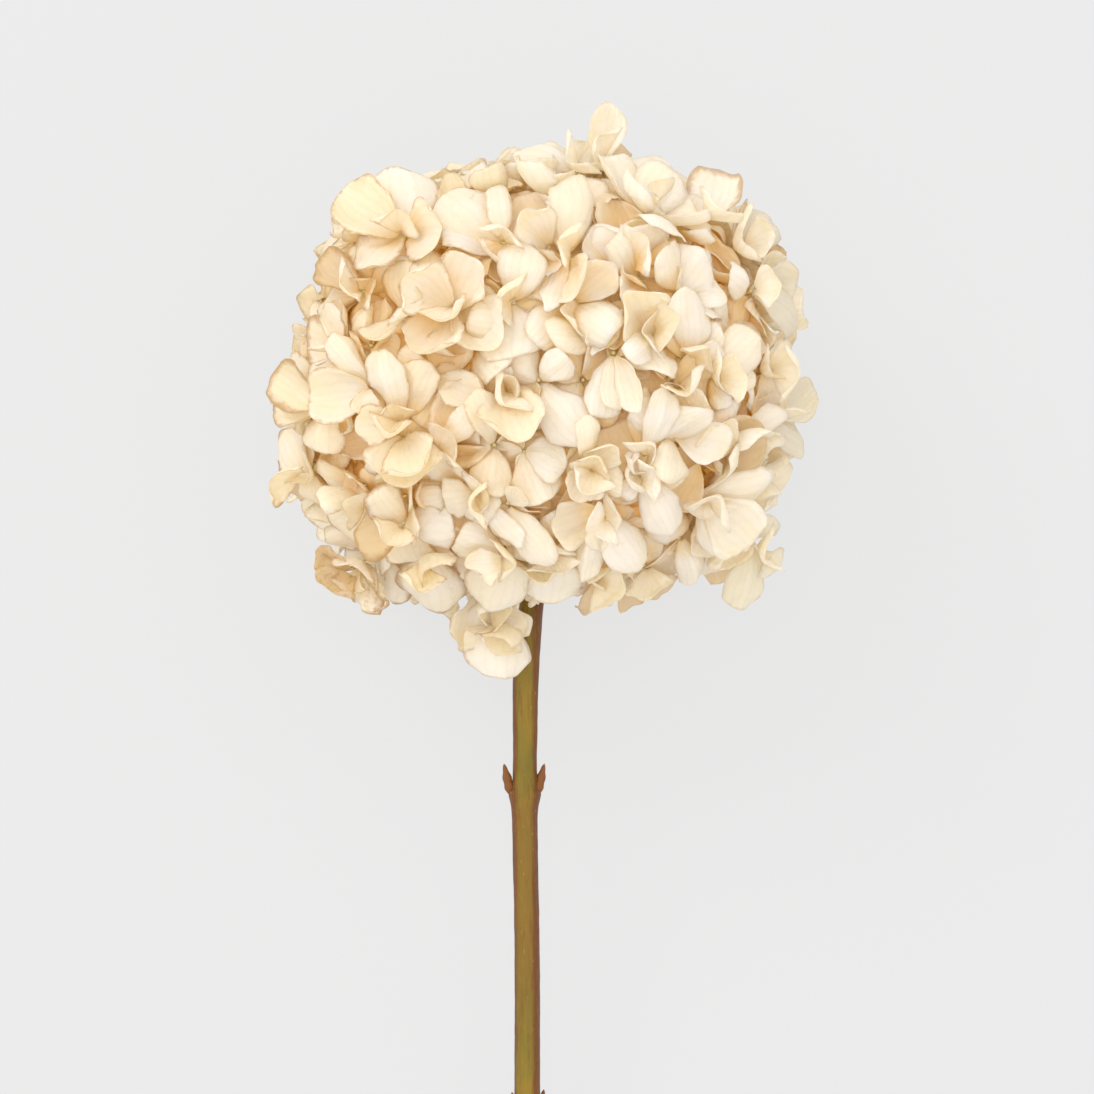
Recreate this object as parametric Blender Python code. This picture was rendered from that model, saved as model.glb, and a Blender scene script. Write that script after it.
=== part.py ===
"""Dried hydrangea: one cut stem with its flower head, lying on a table.

The plant frame has its origin at the middle of the flower head, +Y towards the head's top,
-Y down the stem and +Z towards the side that lies uppermost. An empty lays that frame on the
table: the head rests on its pressed underside and the stem slopes down to its cut end.
The world origin is the spot on the table under the middle of the head.
"""

import math
import random

import bmesh
import bpy
from mathutils import Euler, Matrix, Vector

MM = 0.001

# The flower head: half sizes of the rounded box that the florets lie on, and its height
# over the table. The core is the dense middle that the pedicels are rooted in.
HEAD_HALF = (72 * MM, 64 * MM, 64 * MM)
HEAD_SQUARENESS = 2.5
HEAD_HEIGHT = 62 * MM
CORE_HALF = (50 * MM, 40 * MM, 44 * MM)
CORE_CENTRE = Vector((0, 8 * MM, 0))

# Every floret is one thin plate of sepals on a pedicel. Along a sepal, as shares of its
# length, lie its shoulders and its blunt end, raised or lowered by its cup.
BLADE_THICKNESS = 0.9 * MM
THROAT_RADIUS = 2.2 * MM
NOTCH_RISE = 0.15
PEDICEL_RADIUS = 1.0 * MM
PEDICEL_ROOT_SHARE = 0.78
SHOULDER_AT = 0.64
SHOULDER_RISE = 0.10
END_AT = 0.97
END_WIDTH_SHARE = 0.58
END_RISE = 0.13
BLADE_ROOM_SHARE = 0.92

# A floret keeps its plate whole: sepals this far apart at least, and a spare one, tucked
# back, where the florets in front leave a wide gap.
NARROWEST_GAP = math.radians(52)
WIDEST_GAP = math.radians(230)
FEWEST_SEPALS = 3
SPARE_LENGTH = 15 * MM
SPARE_WIDTH = 13 * MM
SPARE_PITCH = math.radians(-30)
SPREADING_ROUNDS = 40
SPREADING_OVERSHOOT = 0.002
WIDEST_SEPAL_ROOM = 2.0

# The joined head's triangles once the slivers where blades cross are collapsed.
HEAD_TRIANGLES = 10000

# Florets set on a spiral over the sides and the underside.
SPIRAL_FLORETS = 84
SPIRAL_SEED = 11
SPIRAL_SINK = (3 * MM, 7 * MM)
SPIRAL_SEPAL_LENGTH = (16 * MM, 19.5 * MM)
SPIRAL_SEPAL_WIDTH = 16 * MM
SPIRAL_SEPALS = 4
SPIRAL_OPENNESS = (math.radians(4), math.radians(32))
SPIRAL_LEAN = 0.3
SPIRAL_UPPER_LIMIT = 40 * MM
SPIRAL_CLEARANCE = 16 * MM
STEM_CLEAR_ANGLE = math.radians(15)
STEM_NEAR_ANGLE = math.radians(36)

# The table flattens what would go below it: sepals start to bend at this height, and their
# outer faces end just below the table, where they are cut flat.
PRESS_START = 4 * MM
PRESS_END = -0.15 * MM
PRESSED_INNER = 0.62 * MM
RESTING_PRESS = 6 * MM
RESTING_OFFSET = 8 * MM

# The woody stem: its centreline and radius in mm in the plant frame, head end first. The
# photograph shows it down to y = -209; the rest goes on plainly to the cut end, whose
# underside lies on the table, STEM_END_DROP under the centreline.
STEM_LINE = [
    (1.6, -44.1, 3.3),
    (0.6, -54, 3.5),
    (-1.2, -67, 3.6),
    (-2.9, -90, 3.8),
    (-3.2, -111, 3.5),
    (-3.2, -117, 3.7),
    (-3.2, -121, 4.3),
    (-3.2, -124, 4.2),
    (-3.1, -129, 3.75),
    (-2.5, -153, 3.65),
    (-2.3, -182, 3.7),
    (-2.1, -207, 3.75),
    (-2.1, -213, 3.9),
    (-2.1, -217, 4.5),
    (-2.2, -220, 4.4),
    (-2.3, -226, 4.0),
    (-2.9, -250, 3.95),
    (-3.6, -280, 4.0),
    (-4.0, -318, 4.1),
]
STEM_BEVEL_RESOLUTION = 3
STEM_END_Y = -310 * MM
STEM_END_RADIUS = 4.1 * MM
STEM_END_DROP = 3.7 * MM
STEM_CUT_ANGLE = math.radians(32)

# The stem's nodes: x and y in mm, and the turn in degrees of the pair of buds there.
STEM_NODES = [
    (-3.2, -122.5, 4),
    (-2.1, -218.5, 38),
]
BUD_LENGTH = 9.5 * MM
BUD_HALF_WIDTH = 1.9 * MM
BUD_HALF_DEPTH = 1.25 * MM
BUD_LEAN = math.radians(13)
BUD_OFFSET = 4.0 * MM
BUD_TAPER = 0.55
BUD_RISE = 0.78

# Flower stalks: rays from a knot on top of the stem up into the core, each forked.
KNOT_CENTRE = Vector((1.8 * MM, -40.0 * MM, 0))
KNOT_RADIUS = 4.6 * MM
KNOT_FOOT_Y = -43.5 * MM
RAY_COUNT = 7
RAY_LENGTH = 31 * MM
RAY_RADIUS = 1.9 * MM
RAY_SPREADS = (math.radians(52), math.radians(38))
FORK_LENGTH = 16 * MM
FORK_ROOT = 2 * MM
FORK_LIFT = 0.1
FORK_TAPER = 0.8
FORK_RADIUS = 1.4 * MM
FORK_SPREAD = math.radians(30)
CLEARANCE = 0.35 * MM

# Florets on the uppermost side, in mm and degrees: centre x, y and how far it lies below
# the head's surface, then for each sepal its tip x and y, its width, how far it stands up
# from the surface, its roll about its length and its cup, 1 hollow or -1 domed.
UPPER_FLORETS = [
    ((-38, 42, 5), (-41, 62, 18, -15, 0, -1), (-56, 50, 15, 10, 15, 1), (-54, 33, 15, 20, -10, 1),
     (-26, 44, 14, 25, 30, 1)),
    ((-9, 40, 4), (-23, 57, 19, 15, 0, -1), (-10, 60, 6, 20, 55, -1), (-27, 46, 8, 10, 45, -1)),
    ((-21, 44, 9), (-33, 55, 9, 0, 30, -1), (-28, 62, 8, -10, 0, 1)),
    ((4, 38, 6), (0, 59, 14, 10, -20, 1), (-3, 49, 11, 30, 10, 1)),
    ((10, 36, 4), (9, 55, 5, 15, 60, -1), (15, 59, 9, 8, 30, -1), (1, 21, 5, 20, 55, -1),
     (11, 22, 13, 15, 15, 1)),
    ((13, 60, 2), (5, 71, 18, 10, 0, -1), (-7, 65, 9, 5, 20, -1), (22, 81, 9, 0, 10, 1),
     (25, 65, 6, 10, 30, -1)),
    ((28, 32, 9), (26, 44, 21, 35, 0, -1), (38, 49, 13, 15, 30, 1), (16, 46, 12, 5, -20, 1),
     (28, 56, 14, 5, 0, 1)),
    ((35, 55, 3), (36, 67, 19, -5, 0, -1), (50, 51, 15, 5, 0, -1), (47, 40, 6, 20, 50, -1)),
    ((49, 46, 4), (55, 60, 13, 0, -10, 1), (60, 43, 8, 10, 0, -1)),
    ((42, 26, 4), (51, 37, 14, 15, 0, -1), (37, 38, 10, 25, 20, -1), (56, 25, 8, 0, 0, -1)),
    ((60, 38, 3), (61, 48, 8, 10, 0, 1), (68, 48, 9, -10, 10, -1), (73, 36, 5, 0, 0, 1)),
    ((63, 26, 4), (77, 27, 11, -5, 0, 1), (75, 16, 9, -5, 0, -1), (55, 31, 9, 10, 0, -1)),
    ((45, 6, 5), (37, 24, 8, 20, 40, -1), (45, 27, 12, 15, 10, -1), (53, 17, 9, 5, -30, -1)),
    ((34, 14, 3), (26, 26, 14, 15, 10, 1), (27, 6, 7, 40, 0, -1), (36, 2, 9, 35, 0, -1)),
    ((20, 14, 4), (4, 12, 9, 20, 30, -1), (8, 22, 7, 10, 40, 1), (19, 25, 9, 10, 0, -1)),
    ((23, 8, 1), (16, -11, 10, 5, 10, -1), (25, -9, 7, 12, -10, -1), (31, -9, 6, -5, 40, 1)),
    ((1, 0, 3), (13, -20, 12, 10, 0, -1), (-8, 6, 12, 10, 0, -1), (11, 5, 7, 10, 40, -1)),
    ((-8, -3, 6), (-5, -20, 15, 20, 0, 1), (-15, 3, 8, 15, 30, -1), (3, -11, 8, 15, 30, 1)),
    ((16, -26, 3), (15, -10, 5, 20, 55, -1), (23, -19, 7, 20, 10, 1), (11, -36, 10, 10, 0, 1),
     (26, -31, 7, 15, 30, -1)),
    ((-12, -19, 4), (-13, -35, 10, 10, 10, -1), (-15, -1, 7, 15, 30, -1)),
    ((-3, -21, 3), (2, -36, 11, 15, 0, -1), (9, -23, 9, 5, 0, -1)),
    ((-17, -34, 3), (-5, -48, 6, 10, 30, -1), (-27, -36, 10, 10, 0, -1)),
    ((-8, -36, 1), (4, -54, 8, 12, 10, -1), (-3, -30, 6, 0, 0, 1)),
    ((20, -39, 2), (5, -44, 12, -5, 0, 1), (12, -58, 7, 5, 30, -1), (20, -51, 9, 20, 0, -1),
     (32, -56, 10, 5, -10, -1)),
    ((30, -28, 2), (43, -45, 10, 10, 0, -1), (23, -34, 7, 20, 30, -1), (43, -27, 9, -15, 0, 1)),
    ((32, -22, 2), (32, -2, 7, 15, 30, -1), (39, -1, 8, 10, -20, -1), (50, -7, 9, 10, 0, -1)),
    ((41, -2, 5), (55, 10, 7, 10, 30, -1), (49, -6, 6, 0, 30, 1)),
    ((52, 1, 3), (65, 14, 11, 8, 10, -1), (64, 3, 8, 5, 0, -1), (54, -8, 7, 15, 20, -1)),
    ((48, -24, 5), (50, -12, 9, 25, 0, -1), (60, -12, 9, 20, 30, 1), (71, -16, 15, 5, -15, 1)),
    ((49, -35, 3), (68, -31, 12, 5, 0, -1), (63, -47, 15, 10, 0, 1), (49, -50, 7, 10, 40, -1)),
    ((53, -47, 8), (54, -58, 9, -10, 0, 1), (45, -57, 8, -10, 20, -1)),
    ((64, -48, 6), (61, -68, 9, -10, 0, -1), (71, -56, 10, -10, 0, -1), (72, -42, 8, -20, 10, -1)),
    ((69, -11, 5), (80, -3, 9, -10, 0, 1), (78, -19, 8, -15, 0, -1)),
    ((67, 3, 5), (75, 0, 7, -10, 0, -1), (72, 11, 7, -15, 0, 1)),
    ((-61, -8, 3), (-74, 3, 12, 5, 10, 1), (-76, -9, 9, 0, 25, 1), (-57, 5, 12, 15, 0, -1),
     (-62, -21, 13, 15, 0, -1)),
    ((-66, -27, 2), (-76, -15, 11, 0, 15, -1), (-70, -33, 6, -5, 0, 1), (-61, -40, 9, 0, 10, -1)),
    ((-55, 8, 5), (-67, 11, 11, 5, 10, 1), (-60, 21, 6, 0, 30, 1)),
    ((-40, -12, 2), (-43, 10, 10, 8, 0, -1), (-33, 6, 9, 10, 0, -1), (-51, -14, 9, 5, 0, 1)),
    ((-47, -2, 2), (-57, 14, 7, 10, 30, -1), (-50, -12, 7, 10, 0, 1)),
    ((-48, 10, 6), (-53, 22, 9, 20, 0, -1), (-47, 25, 7, 10, 30, -1), (-38, 8, 9, 0, 0, 1)),
    ((-24, 21, 6), (-35, 6, 16, 20, 0, 1), (-38, 31, 14, 15, 0, 1), (-16, 35, 13, 5, 0, 1),
     (-9, 11, 14, 15, 0, 1)),
    ((-7, 23, 3), (-2, 42, 12, 12, 0, -1), (-3, 7, 16, 12, 0, -1)),
    ((-50, 26, 5), (-61, 32, 9, 0, 10, 1), (-64, 24, 9, -5, 0, -1), (-35, 35, 8, 10, 40, -1)),
    ((-27, -20, 4), (-20, 3, 13, 10, 0, 1), (-17, -8, 7, 25, 20, -1)),
    ((-38, -16, 3), (-31, -26, 13, 30, 0, 1), (-48, -22, 11, 20, 20, -1), (-38, -32, 18, 15, 0, 1)),
    ((-49, -36, 6), (-58, -28, 11, 10, 0, 1), (-60, -44, 12, 10, 0, -1), (-48, -26, 7, 10, 30, -1)),
    ((-38, -42, 3), (-51, -42, 13, 10, 0, 1), (-24, -43, 13, 12, 0, -1), (-46, -31, 9, 15, 20, -1)),
    ((-51, -54, 4), (-59, -61, 9, 0, 0, 1), (-50, -66, 9, 0, 0, -1), (-41, -64, 9, -5, 0, 1),
     (-62, -47, 8, -10, 0, 1)),
    ((-30, -52, 3), (-30, -69, 18, 12, 0, -1), (-22, -62, 7, 0, -30, -1)),
    ((-9, -50, 2), (-23, -46, 11, 15, 0, -1), (-20, -55, 7, 15, 20, 1), (-11, -66, 15, 5, 0, -1)),
    ((5, -50, 3), (4, -67, 14, 5, 0, -1), (14, -50, 8, -10, 0, 1)),
    ((-9, -67, -3), (-19, -79, 7, -5, 30, -1), (-11, -88, 14, -5, 0, -1), (-3, -76, 6, 0, 30, -1),
     (-21, -68, 8, -10, 0, -1)),
    ((18, -56, 8), (16, -70, 6, -5, 0, -1), (22, -66, 9, -10, 0, -1), (8, -62, 6, 0, 50, -1)),
    ((32, -54, 9), (28, -64, 9, -5, 0, 1), (38, -61, 9, -10, 0, -1)),
    ((42, -46, 9), (37, -59, 12, -5, 0, 1), (47, -57, 8, -5, 0, -1)),
]
LONGEST_UPPER_SEPAL = 21 * MM
SURFACE_FOLLOWING = 0.85

# The sepals have lifted as they dried, the hollow ones most: degrees on top of the above.
HOLLOW_LIFT = 24
DOMED_LIFT = 10
LOWEST_UPPER_CENTRE = 12 * MM
UPPER_FACING_LEAN = 0.8

# Blocks that cut: the table, with its top at height zero, and the stem's slanted end.
TABLE_SIZE = (1200 * MM, 1200 * MM, 100 * MM)
END_CUTTER_SIZE = 30 * MM
FOOT_CUTTER_SIZE = 4 * KNOT_RADIUS
WELD_DISTANCE = 0.01 * MM
SHARP_EDGE = math.radians(40)

CREAM = (0.93, 0.85, 0.70, 1)
PALE_GREEN = (0.62, 0.60, 0.34, 1)
OLIVE_BROWN = (0.40, 0.27, 0.11, 1)


def clear_scene():
    for obj in list(bpy.data.objects):
        bpy.data.objects.remove(obj, do_unlink=True)


def new_collection(name):
    collection = bpy.data.collections.new(name)
    bpy.context.scene.collection.children.link(collection)
    return collection


def remove_collection(collection):
    for obj in list(collection.objects):
        bpy.data.objects.remove(obj, do_unlink=True)
    bpy.data.collections.remove(collection)


def material(name, colour, roughness):
    made = bpy.data.materials.new(name)
    made.use_nodes = True
    shader = made.node_tree.nodes["Principled BSDF"]
    shader.inputs["Base Color"].default_value = colour
    shader.inputs["Roughness"].default_value = roughness
    shader.inputs["Metallic"].default_value = 0
    return made


def laying_matrix():
    """The plant frame on the table, sloped so that the stem's cut end comes down to it."""
    slope = math.asin((HEAD_HEIGHT - STEM_END_DROP) / -STEM_END_Y)
    return Matrix.LocRotScale(Vector((0, 0, HEAD_HEIGHT)), Euler((slope, 0, 0)), None)


LAYING = laying_matrix()
PLANT_DOWN = (LAYING.inverted().to_3x3() @ Vector((0, 0, -1))).normalized()


def add_object(name, mesh, collection, parent):
    obj = bpy.data.objects.new(name, mesh)
    collection.objects.link(obj)
    obj.parent = parent
    return obj


def mesh_of(bm, name):
    mesh = bpy.data.meshes.new(name)
    bmesh.ops.recalc_face_normals(bm, faces=bm.faces)
    bm.to_mesh(mesh)
    bm.free()
    return mesh


def baked(obj):
    """Gives the object the mesh that its modifiers make, and takes the modifiers off."""
    graph = bpy.context.evaluated_depsgraph_get()
    mesh = bpy.data.meshes.new_from_object(obj.evaluated_get(graph))
    obj.modifiers.clear()
    obj.data = mesh
    return obj


def boolean(obj, operation, other):
    """Joins obj with an object or a collection, or cuts it by an object, and applies it."""
    modifier = obj.modifiers.new(operation.lower(), "BOOLEAN")
    modifier.operation = operation
    modifier.solver = "MANIFOLD"
    if isinstance(other, bpy.types.Collection):
        modifier.operand_type = "COLLECTION"
        modifier.collection = other
    else:
        modifier.object = other
    bpy.context.view_layer.update()
    return baked(obj)


def thin_out(obj, limit):
    """Collapses the shortest and flattest edges until the triangles are within the limit."""
    before = sum(len(face.vertices) - 2 for face in obj.data.polygons)
    modifier = obj.modifiers.new("fewer_triangles", "DECIMATE")
    modifier.ratio = min(1.0, limit / before)
    modifier.use_collapse_triangulate = True
    bpy.context.view_layer.update()
    return baked(obj)


def connected(vert, seen):
    """All vertices joined to vert by edges, which are added to seen."""
    group = [vert]
    seen.add(vert)
    for reached in group:
        for edge in reached.link_edges:
            other = edge.other_vert(reached)
            if other not in seen:
                seen.add(other)
                group.append(other)
    return group


def keep_largest_body(obj):
    """Drops the scraps that a cut leaves loose and fills the hollows that fusing seals."""
    bm = bmesh.new()
    bm.from_mesh(obj.data)
    seen = set()
    groups = [connected(vert, seen) for vert in bm.verts if vert not in seen]
    groups.sort(key=len)
    for group in groups[:-1]:
        bmesh.ops.delete(bm, geom=group, context="VERTS")
    bm.to_mesh(obj.data)
    bm.free()


def box_cutter(name, size, matrix, parent, cutters):
    bm = bmesh.new()
    bmesh.ops.create_cube(bm, size=1)
    bmesh.ops.transform(bm, matrix=matrix @ Matrix.Diagonal((*size, 1)), verts=bm.verts)
    return add_object(name, mesh_of(bm, name), cutters, parent)


def tube(name, points, radii, resolution, collection, parent):
    """A tapered round rod along points, closed at both ends, as a mesh object."""
    curve = bpy.data.curves.new(name, "CURVE")
    curve.dimensions = "3D"
    curve.bevel_depth = 1.0
    curve.bevel_resolution = resolution
    curve.use_fill_caps = True
    spline = curve.splines.new("POLY")
    spline.points.add(len(points) - 1)
    for slot, point, radius in zip(spline.points, points, radii):
        slot.co = (*point, 1)
        slot.radius = radius
    guide = add_object(name, curve, collection, parent)
    bpy.context.view_layer.update()
    graph = bpy.context.evaluated_depsgraph_get()
    mesh = bpy.data.meshes.new_from_object(guide.evaluated_get(graph))
    bm = bmesh.new()
    bm.from_mesh(mesh)
    bmesh.ops.remove_doubles(bm, verts=bm.verts, dist=WELD_DISTANCE)
    bpy.data.objects.remove(guide, do_unlink=True)
    return add_object(name, mesh_of(bm, name), collection, parent)


def head_reach(direction):
    """Distance from the head's centre to its surface along a unit vector."""
    total = sum(abs(d / half) ** HEAD_SQUARENESS for d, half in zip(direction, HEAD_HALF))
    return total ** (-1 / HEAD_SQUARENESS)


def head_depth(x, y):
    """Height of the head's upper surface over the plant frame's XY plane."""
    used = sum(abs(v / half) ** HEAD_SQUARENESS for v, half in zip((x, y), HEAD_HALF))
    return HEAD_HALF[2] * max(0.0, 1 - used) ** (1 / HEAD_SQUARENESS)


def outward(point):
    """Unit normal of the rounded box through a point of the plant frame."""
    power = HEAD_SQUARENESS - 1
    slopes = [abs(v / half) ** power / half for v, half in zip(point, HEAD_HALF)]
    return Vector([math.copysign(slope, v) for slope, v in zip(slopes, point)]).normalized()


def turned_about(vector, axis, angle):
    return Matrix.Rotation(angle, 3, axis) @ vector


def pressed(point, lowest=PRESS_END):
    """A point of the plant frame, bent up smoothly where it would go below the table."""
    world = LAYING @ point
    reach = PRESS_START - 2 * lowest
    if world.z < -reach:
        world.z = lowest
    elif world.z < PRESS_START:
        world.z = lowest + (world.z + reach) ** 2 / (4 * (PRESS_START - lowest))
    return LAYING.inverted() @ world


class Sepal:
    """A blade from the floret's centre: its chord, width, roll about the chord and cup."""

    def __init__(self, chord, width, roll=0.0, cup=1):
        self.chord = chord
        self.width = width
        self.roll = roll
        self.cup = cup
        self.angle = 0.0

    def points(self, centre, facing, gap):
        """Shoulder, end, end and shoulder, round the blade's outline."""
        length = self.chord.length
        along = self.chord.normalized()
        front = (facing - along * facing.dot(along)).normalized()
        normal = turned_about(front, along, self.roll)
        room = 2 * SHOULDER_AT * length * math.tan(gap / 2) * BLADE_ROOM_SHARE
        side = along.cross(normal) * min(self.width / math.cos(self.roll), room) / 2
        shoulder = centre + (along * SHOULDER_AT + normal * SHOULDER_RISE * self.cup) * length
        end = centre + (along * END_AT + normal * END_RISE * self.cup) * length
        narrow = side * END_WIDTH_SHARE
        return [shoulder + side, end + narrow, end - narrow, shoulder - side]


class Floret:
    """One floret: a thin plate of joined sepals that runs back into its pedicel."""

    def __init__(self, centre, facing, sepals):
        self.centre = centre
        self.facing = facing.normalized()
        self.start = self.facing.orthogonal().normalized()
        self.sepals = sepals
        across = self.facing.cross(self.start)
        for sepal in self.sepals:
            angle = math.atan2(sepal.chord.dot(across), sepal.chord.dot(self.start))
            sepal.angle = angle % math.tau
        self.sort()
        self.fill_gaps()
        self.spread()

    def sort(self):
        self.sepals.sort(key=lambda sepal: sepal.angle)

    def gaps(self):
        angles = [sepal.angle for sepal in self.sepals]
        following = angles[1:] + [angles[0] + math.tau]
        return [after - before for before, after in zip(angles, following)]

    def direction(self, angle, pitch):
        flat = turned_about(self.start, self.facing, angle)
        return flat * math.cos(pitch) + self.facing * math.sin(pitch)

    def fill_gaps(self):
        """Adds spare sepals, tucked back, until no gap is too wide."""
        while len(self.sepals) < FEWEST_SEPALS or max(self.gaps()) > WIDEST_GAP:
            gaps = self.gaps()
            widest = gaps.index(max(gaps))
            angle = self.sepals[widest].angle + gaps[widest] / 2
            spare = Sepal(self.direction(angle, SPARE_PITCH) * SPARE_LENGTH, SPARE_WIDTH)
            spare.angle = angle % math.tau
            self.sepals.append(spare)
            self.sort()

    def spread(self):
        """Turns apart the sepals that point nearly the same way."""
        for _ in range(SPREADING_ROUNDS):
            for i, gap in enumerate(self.gaps()):
                if gap < NARROWEST_GAP:
                    shift = (NARROWEST_GAP - gap) / 2 + SPREADING_OVERSHOOT
                    self.turn(self.sepals[i], -shift)
                    self.turn(self.sepals[(i + 1) % len(self.sepals)], shift)

    def turn(self, sepal, angle):
        sepal.angle += angle
        sepal.chord = turned_about(sepal.chord, self.facing, angle)

    def outline(self):
        """The plate's rim: four points for each sepal, then the notch after it."""
        gaps = self.gaps()
        rim = []
        for i, sepal in enumerate(self.sepals):
            room = min(gaps[i], gaps[i - 1], WIDEST_SEPAL_ROOM)
            rim += sepal.points(self.centre, self.facing, room)
            notch = self.direction(sepal.angle + gaps[i] / 2, NOTCH_RISE)
            rim.append(self.centre + notch * THROAT_RADIUS)
        return rim

    def pedicel_ring(self, notches):
        """The pedicel's sunk end in the core, with a point for each notch."""
        inward = (CORE_CENTRE - self.centre).normalized()
        reach = sum((d / half) ** 2 for d, half in zip(inward, CORE_HALF)) ** -0.5
        root = CORE_CENTRE - inward * reach * PEDICEL_ROOT_SHARE
        ring = []
        for notch in notches:
            spoke = notch - self.centre
            across = (spoke - inward * spoke.dot(inward)).normalized()
            ring.append(root + across * PEDICEL_RADIUS)
        return ring

    def mesh(self):
        """Closed plate and pedicel: the front fans out from the centre over each sepal."""
        outline = self.outline()
        steps = len(outline)
        centre = pressed(self.centre)
        rim = [pressed(point) for point in outline]
        back = [pressed(point, PRESSED_INNER) for point in set_back(centre, rim)]
        bm = bmesh.new()
        middle = bm.verts.new(centre)
        rim = [bm.verts.new(point) for point in rim]
        back = [bm.verts.new(point) for point in back]
        notches = back[4::5]
        roots = [bm.verts.new(point) for point in self.pedicel_ring([v.co for v in notches])]
        for k in range(steps):
            after = (k + 1) % steps
            bm.faces.new((middle, rim[k], rim[after]))
            bm.faces.new((rim[k], back[k], back[after]))
            bm.faces.new((rim[k], back[after], rim[after]))
        for i in range(len(notches)):
            lobe = [back[5 * i + j] for j in range(-1, 5)]
            for j in range(1, 5):
                bm.faces.new((lobe[0], lobe[j + 1], lobe[j]))
            bm.faces.new((notches[i - 1], notches[i], roots[i]))
            bm.faces.new((notches[i - 1], roots[i], roots[i - 1]))
        end = bm.faces.new(roots)
        bmesh.ops.triangulate(bm, faces=[end])
        return mesh_of(bm, "floret")


def set_back(centre, rim):
    """The rim's points moved back by the blade's thickness, square to the plate there."""
    steps = len(rim)
    spokes = [point - centre for point in rim]
    normals = [spokes[k].cross(spokes[(k + 1) % steps]).normalized() for k in range(steps)]
    back = []
    for k in range(steps):
        normal = (normals[k] + normals[k - 1]).normalized()
        back.append(rim[k] - normal * BLADE_THICKNESS)
    return back


def upper_chord(centre, tip_x, tip_y, pitch):
    """From a floret's centre to a sepal's tip, following the head's round surface."""
    chord = Vector((tip_x - centre.x, tip_y - centre.y, 0))
    flat = chord.length
    fall = head_depth(centre.x, centre.y) - head_depth(tip_x, tip_y)
    steepest = math.sqrt(max(LONGEST_UPPER_SEPAL ** 2 - flat ** 2, (flat / 4) ** 2))
    rise = flat * math.tan(pitch) - fall * SURFACE_FOLLOWING
    chord.z = max(-steepest, min(steepest, rise))
    return chord


def upper_florets():
    """The florets of the uppermost side, placed one by one."""
    for (x, y, sink), *blades in UPPER_FLORETS:
        height = head_depth(x * MM, y * MM) - sink * MM
        centre = Vector((x * MM, y * MM, max(height, LOWEST_UPPER_CENTRE)))
        sepals = []
        for tip_x, tip_y, width, pitch, roll, cup in blades:
            lifted = math.radians(pitch + (HOLLOW_LIFT if cup > 0 else DOMED_LIFT))
            chord = upper_chord(centre, tip_x * MM, tip_y * MM, lifted)
            sepals.append(Sepal(chord, width * MM, math.radians(roll), cup))
        facing = Vector((0, 0, 1)) + outward(centre) * UPPER_FACING_LEAN
        yield Floret(centre, facing, sepals)


def spiral_directions():
    """Unit vectors spread evenly over a ball, from the side on the table upwards."""
    golden_angle = math.pi * (3 - math.sqrt(5))
    to_table = Vector((0, 0, 1)).rotation_difference(PLANT_DOWN)
    for i in range(SPIRAL_FLORETS):
        rise = 1 - 2 * i / (SPIRAL_FLORETS - 1)
        flat = math.sqrt(max(0.0, 1 - rise * rise))
        turn = golden_angle * i
        yield to_table @ Vector((flat * math.cos(turn), flat * math.sin(turn), rise))


def resting_floret():
    """The floret that the head lies on, pressed flat with a sepal over the world origin."""
    start = PLANT_DOWN.orthogonal().normalized()
    centre = PLANT_DOWN * (HEAD_HEIGHT + RESTING_PRESS) - start * RESTING_OFFSET
    sepals = []
    for k in range(SPIRAL_SEPALS):
        along = turned_about(start, PLANT_DOWN, k * math.tau / SPIRAL_SEPALS)
        sepals.append(Sepal(along * SPIRAL_SEPAL_LENGTH[1], SPIRAL_SEPAL_WIDTH))
    return Floret(centre, PLANT_DOWN, sepals)


def spiral_florets(upper):
    """Florets over the sides and the underside, clear of the upper ones and the stem."""
    draw = random.Random(SPIRAL_SEED)
    stem_way = Vector((0, -1, 0))
    yield resting_floret()
    for direction in list(spiral_directions())[1:]:
        centre = direction * (head_reach(direction) - draw.uniform(*SPIRAL_SINK))
        spin = draw.uniform(0, math.tau)
        lean = Vector([draw.uniform(-SPIRAL_LEAN, SPIRAL_LEAN) for _ in range(3)])
        pitches = [draw.uniform(*SPIRAL_OPENNESS) for _ in range(SPIRAL_SEPALS)]
        lengths = [draw.uniform(*SPIRAL_SEPAL_LENGTH) for _ in range(SPIRAL_SEPALS)]
        too_near = any((centre - other.centre).length < SPIRAL_CLEARANCE for other in upper)
        from_stem = direction.angle(stem_way)
        if centre.z > SPIRAL_UPPER_LIMIT or too_near or from_stem < STEM_CLEAR_ANGLE:
            continue
        facing = (outward(centre) + lean).normalized()
        start = facing.orthogonal().normalized()
        if from_stem < STEM_NEAR_ANGLE:
            towards = Vector((-centre.x, 0, -centre.z))
            start = (towards - facing * towards.dot(facing)).normalized()
            spin = math.pi / SPIRAL_SEPALS
        sepals = []
        for k in range(SPIRAL_SEPALS):
            flat = turned_about(start, facing, spin + k * math.tau / SPIRAL_SEPALS)
            along = flat * math.cos(pitches[k]) + facing * math.sin(pitches[k])
            sepals.append(Sepal(along * lengths[k], SPIRAL_SEPAL_WIDTH))
        yield Floret(centre, facing, sepals)


def make_core(name, collection, parent):
    """The dense middle of the head that every pedicel is rooted in."""
    bm = bmesh.new()
    bmesh.ops.create_icosphere(bm, subdivisions=2, radius=1)
    bmesh.ops.scale(bm, vec=CORE_HALF, verts=bm.verts)
    bmesh.ops.translate(bm, vec=CORE_CENTRE, verts=bm.verts)
    return add_object(name, mesh_of(bm, name), collection, parent)


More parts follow.
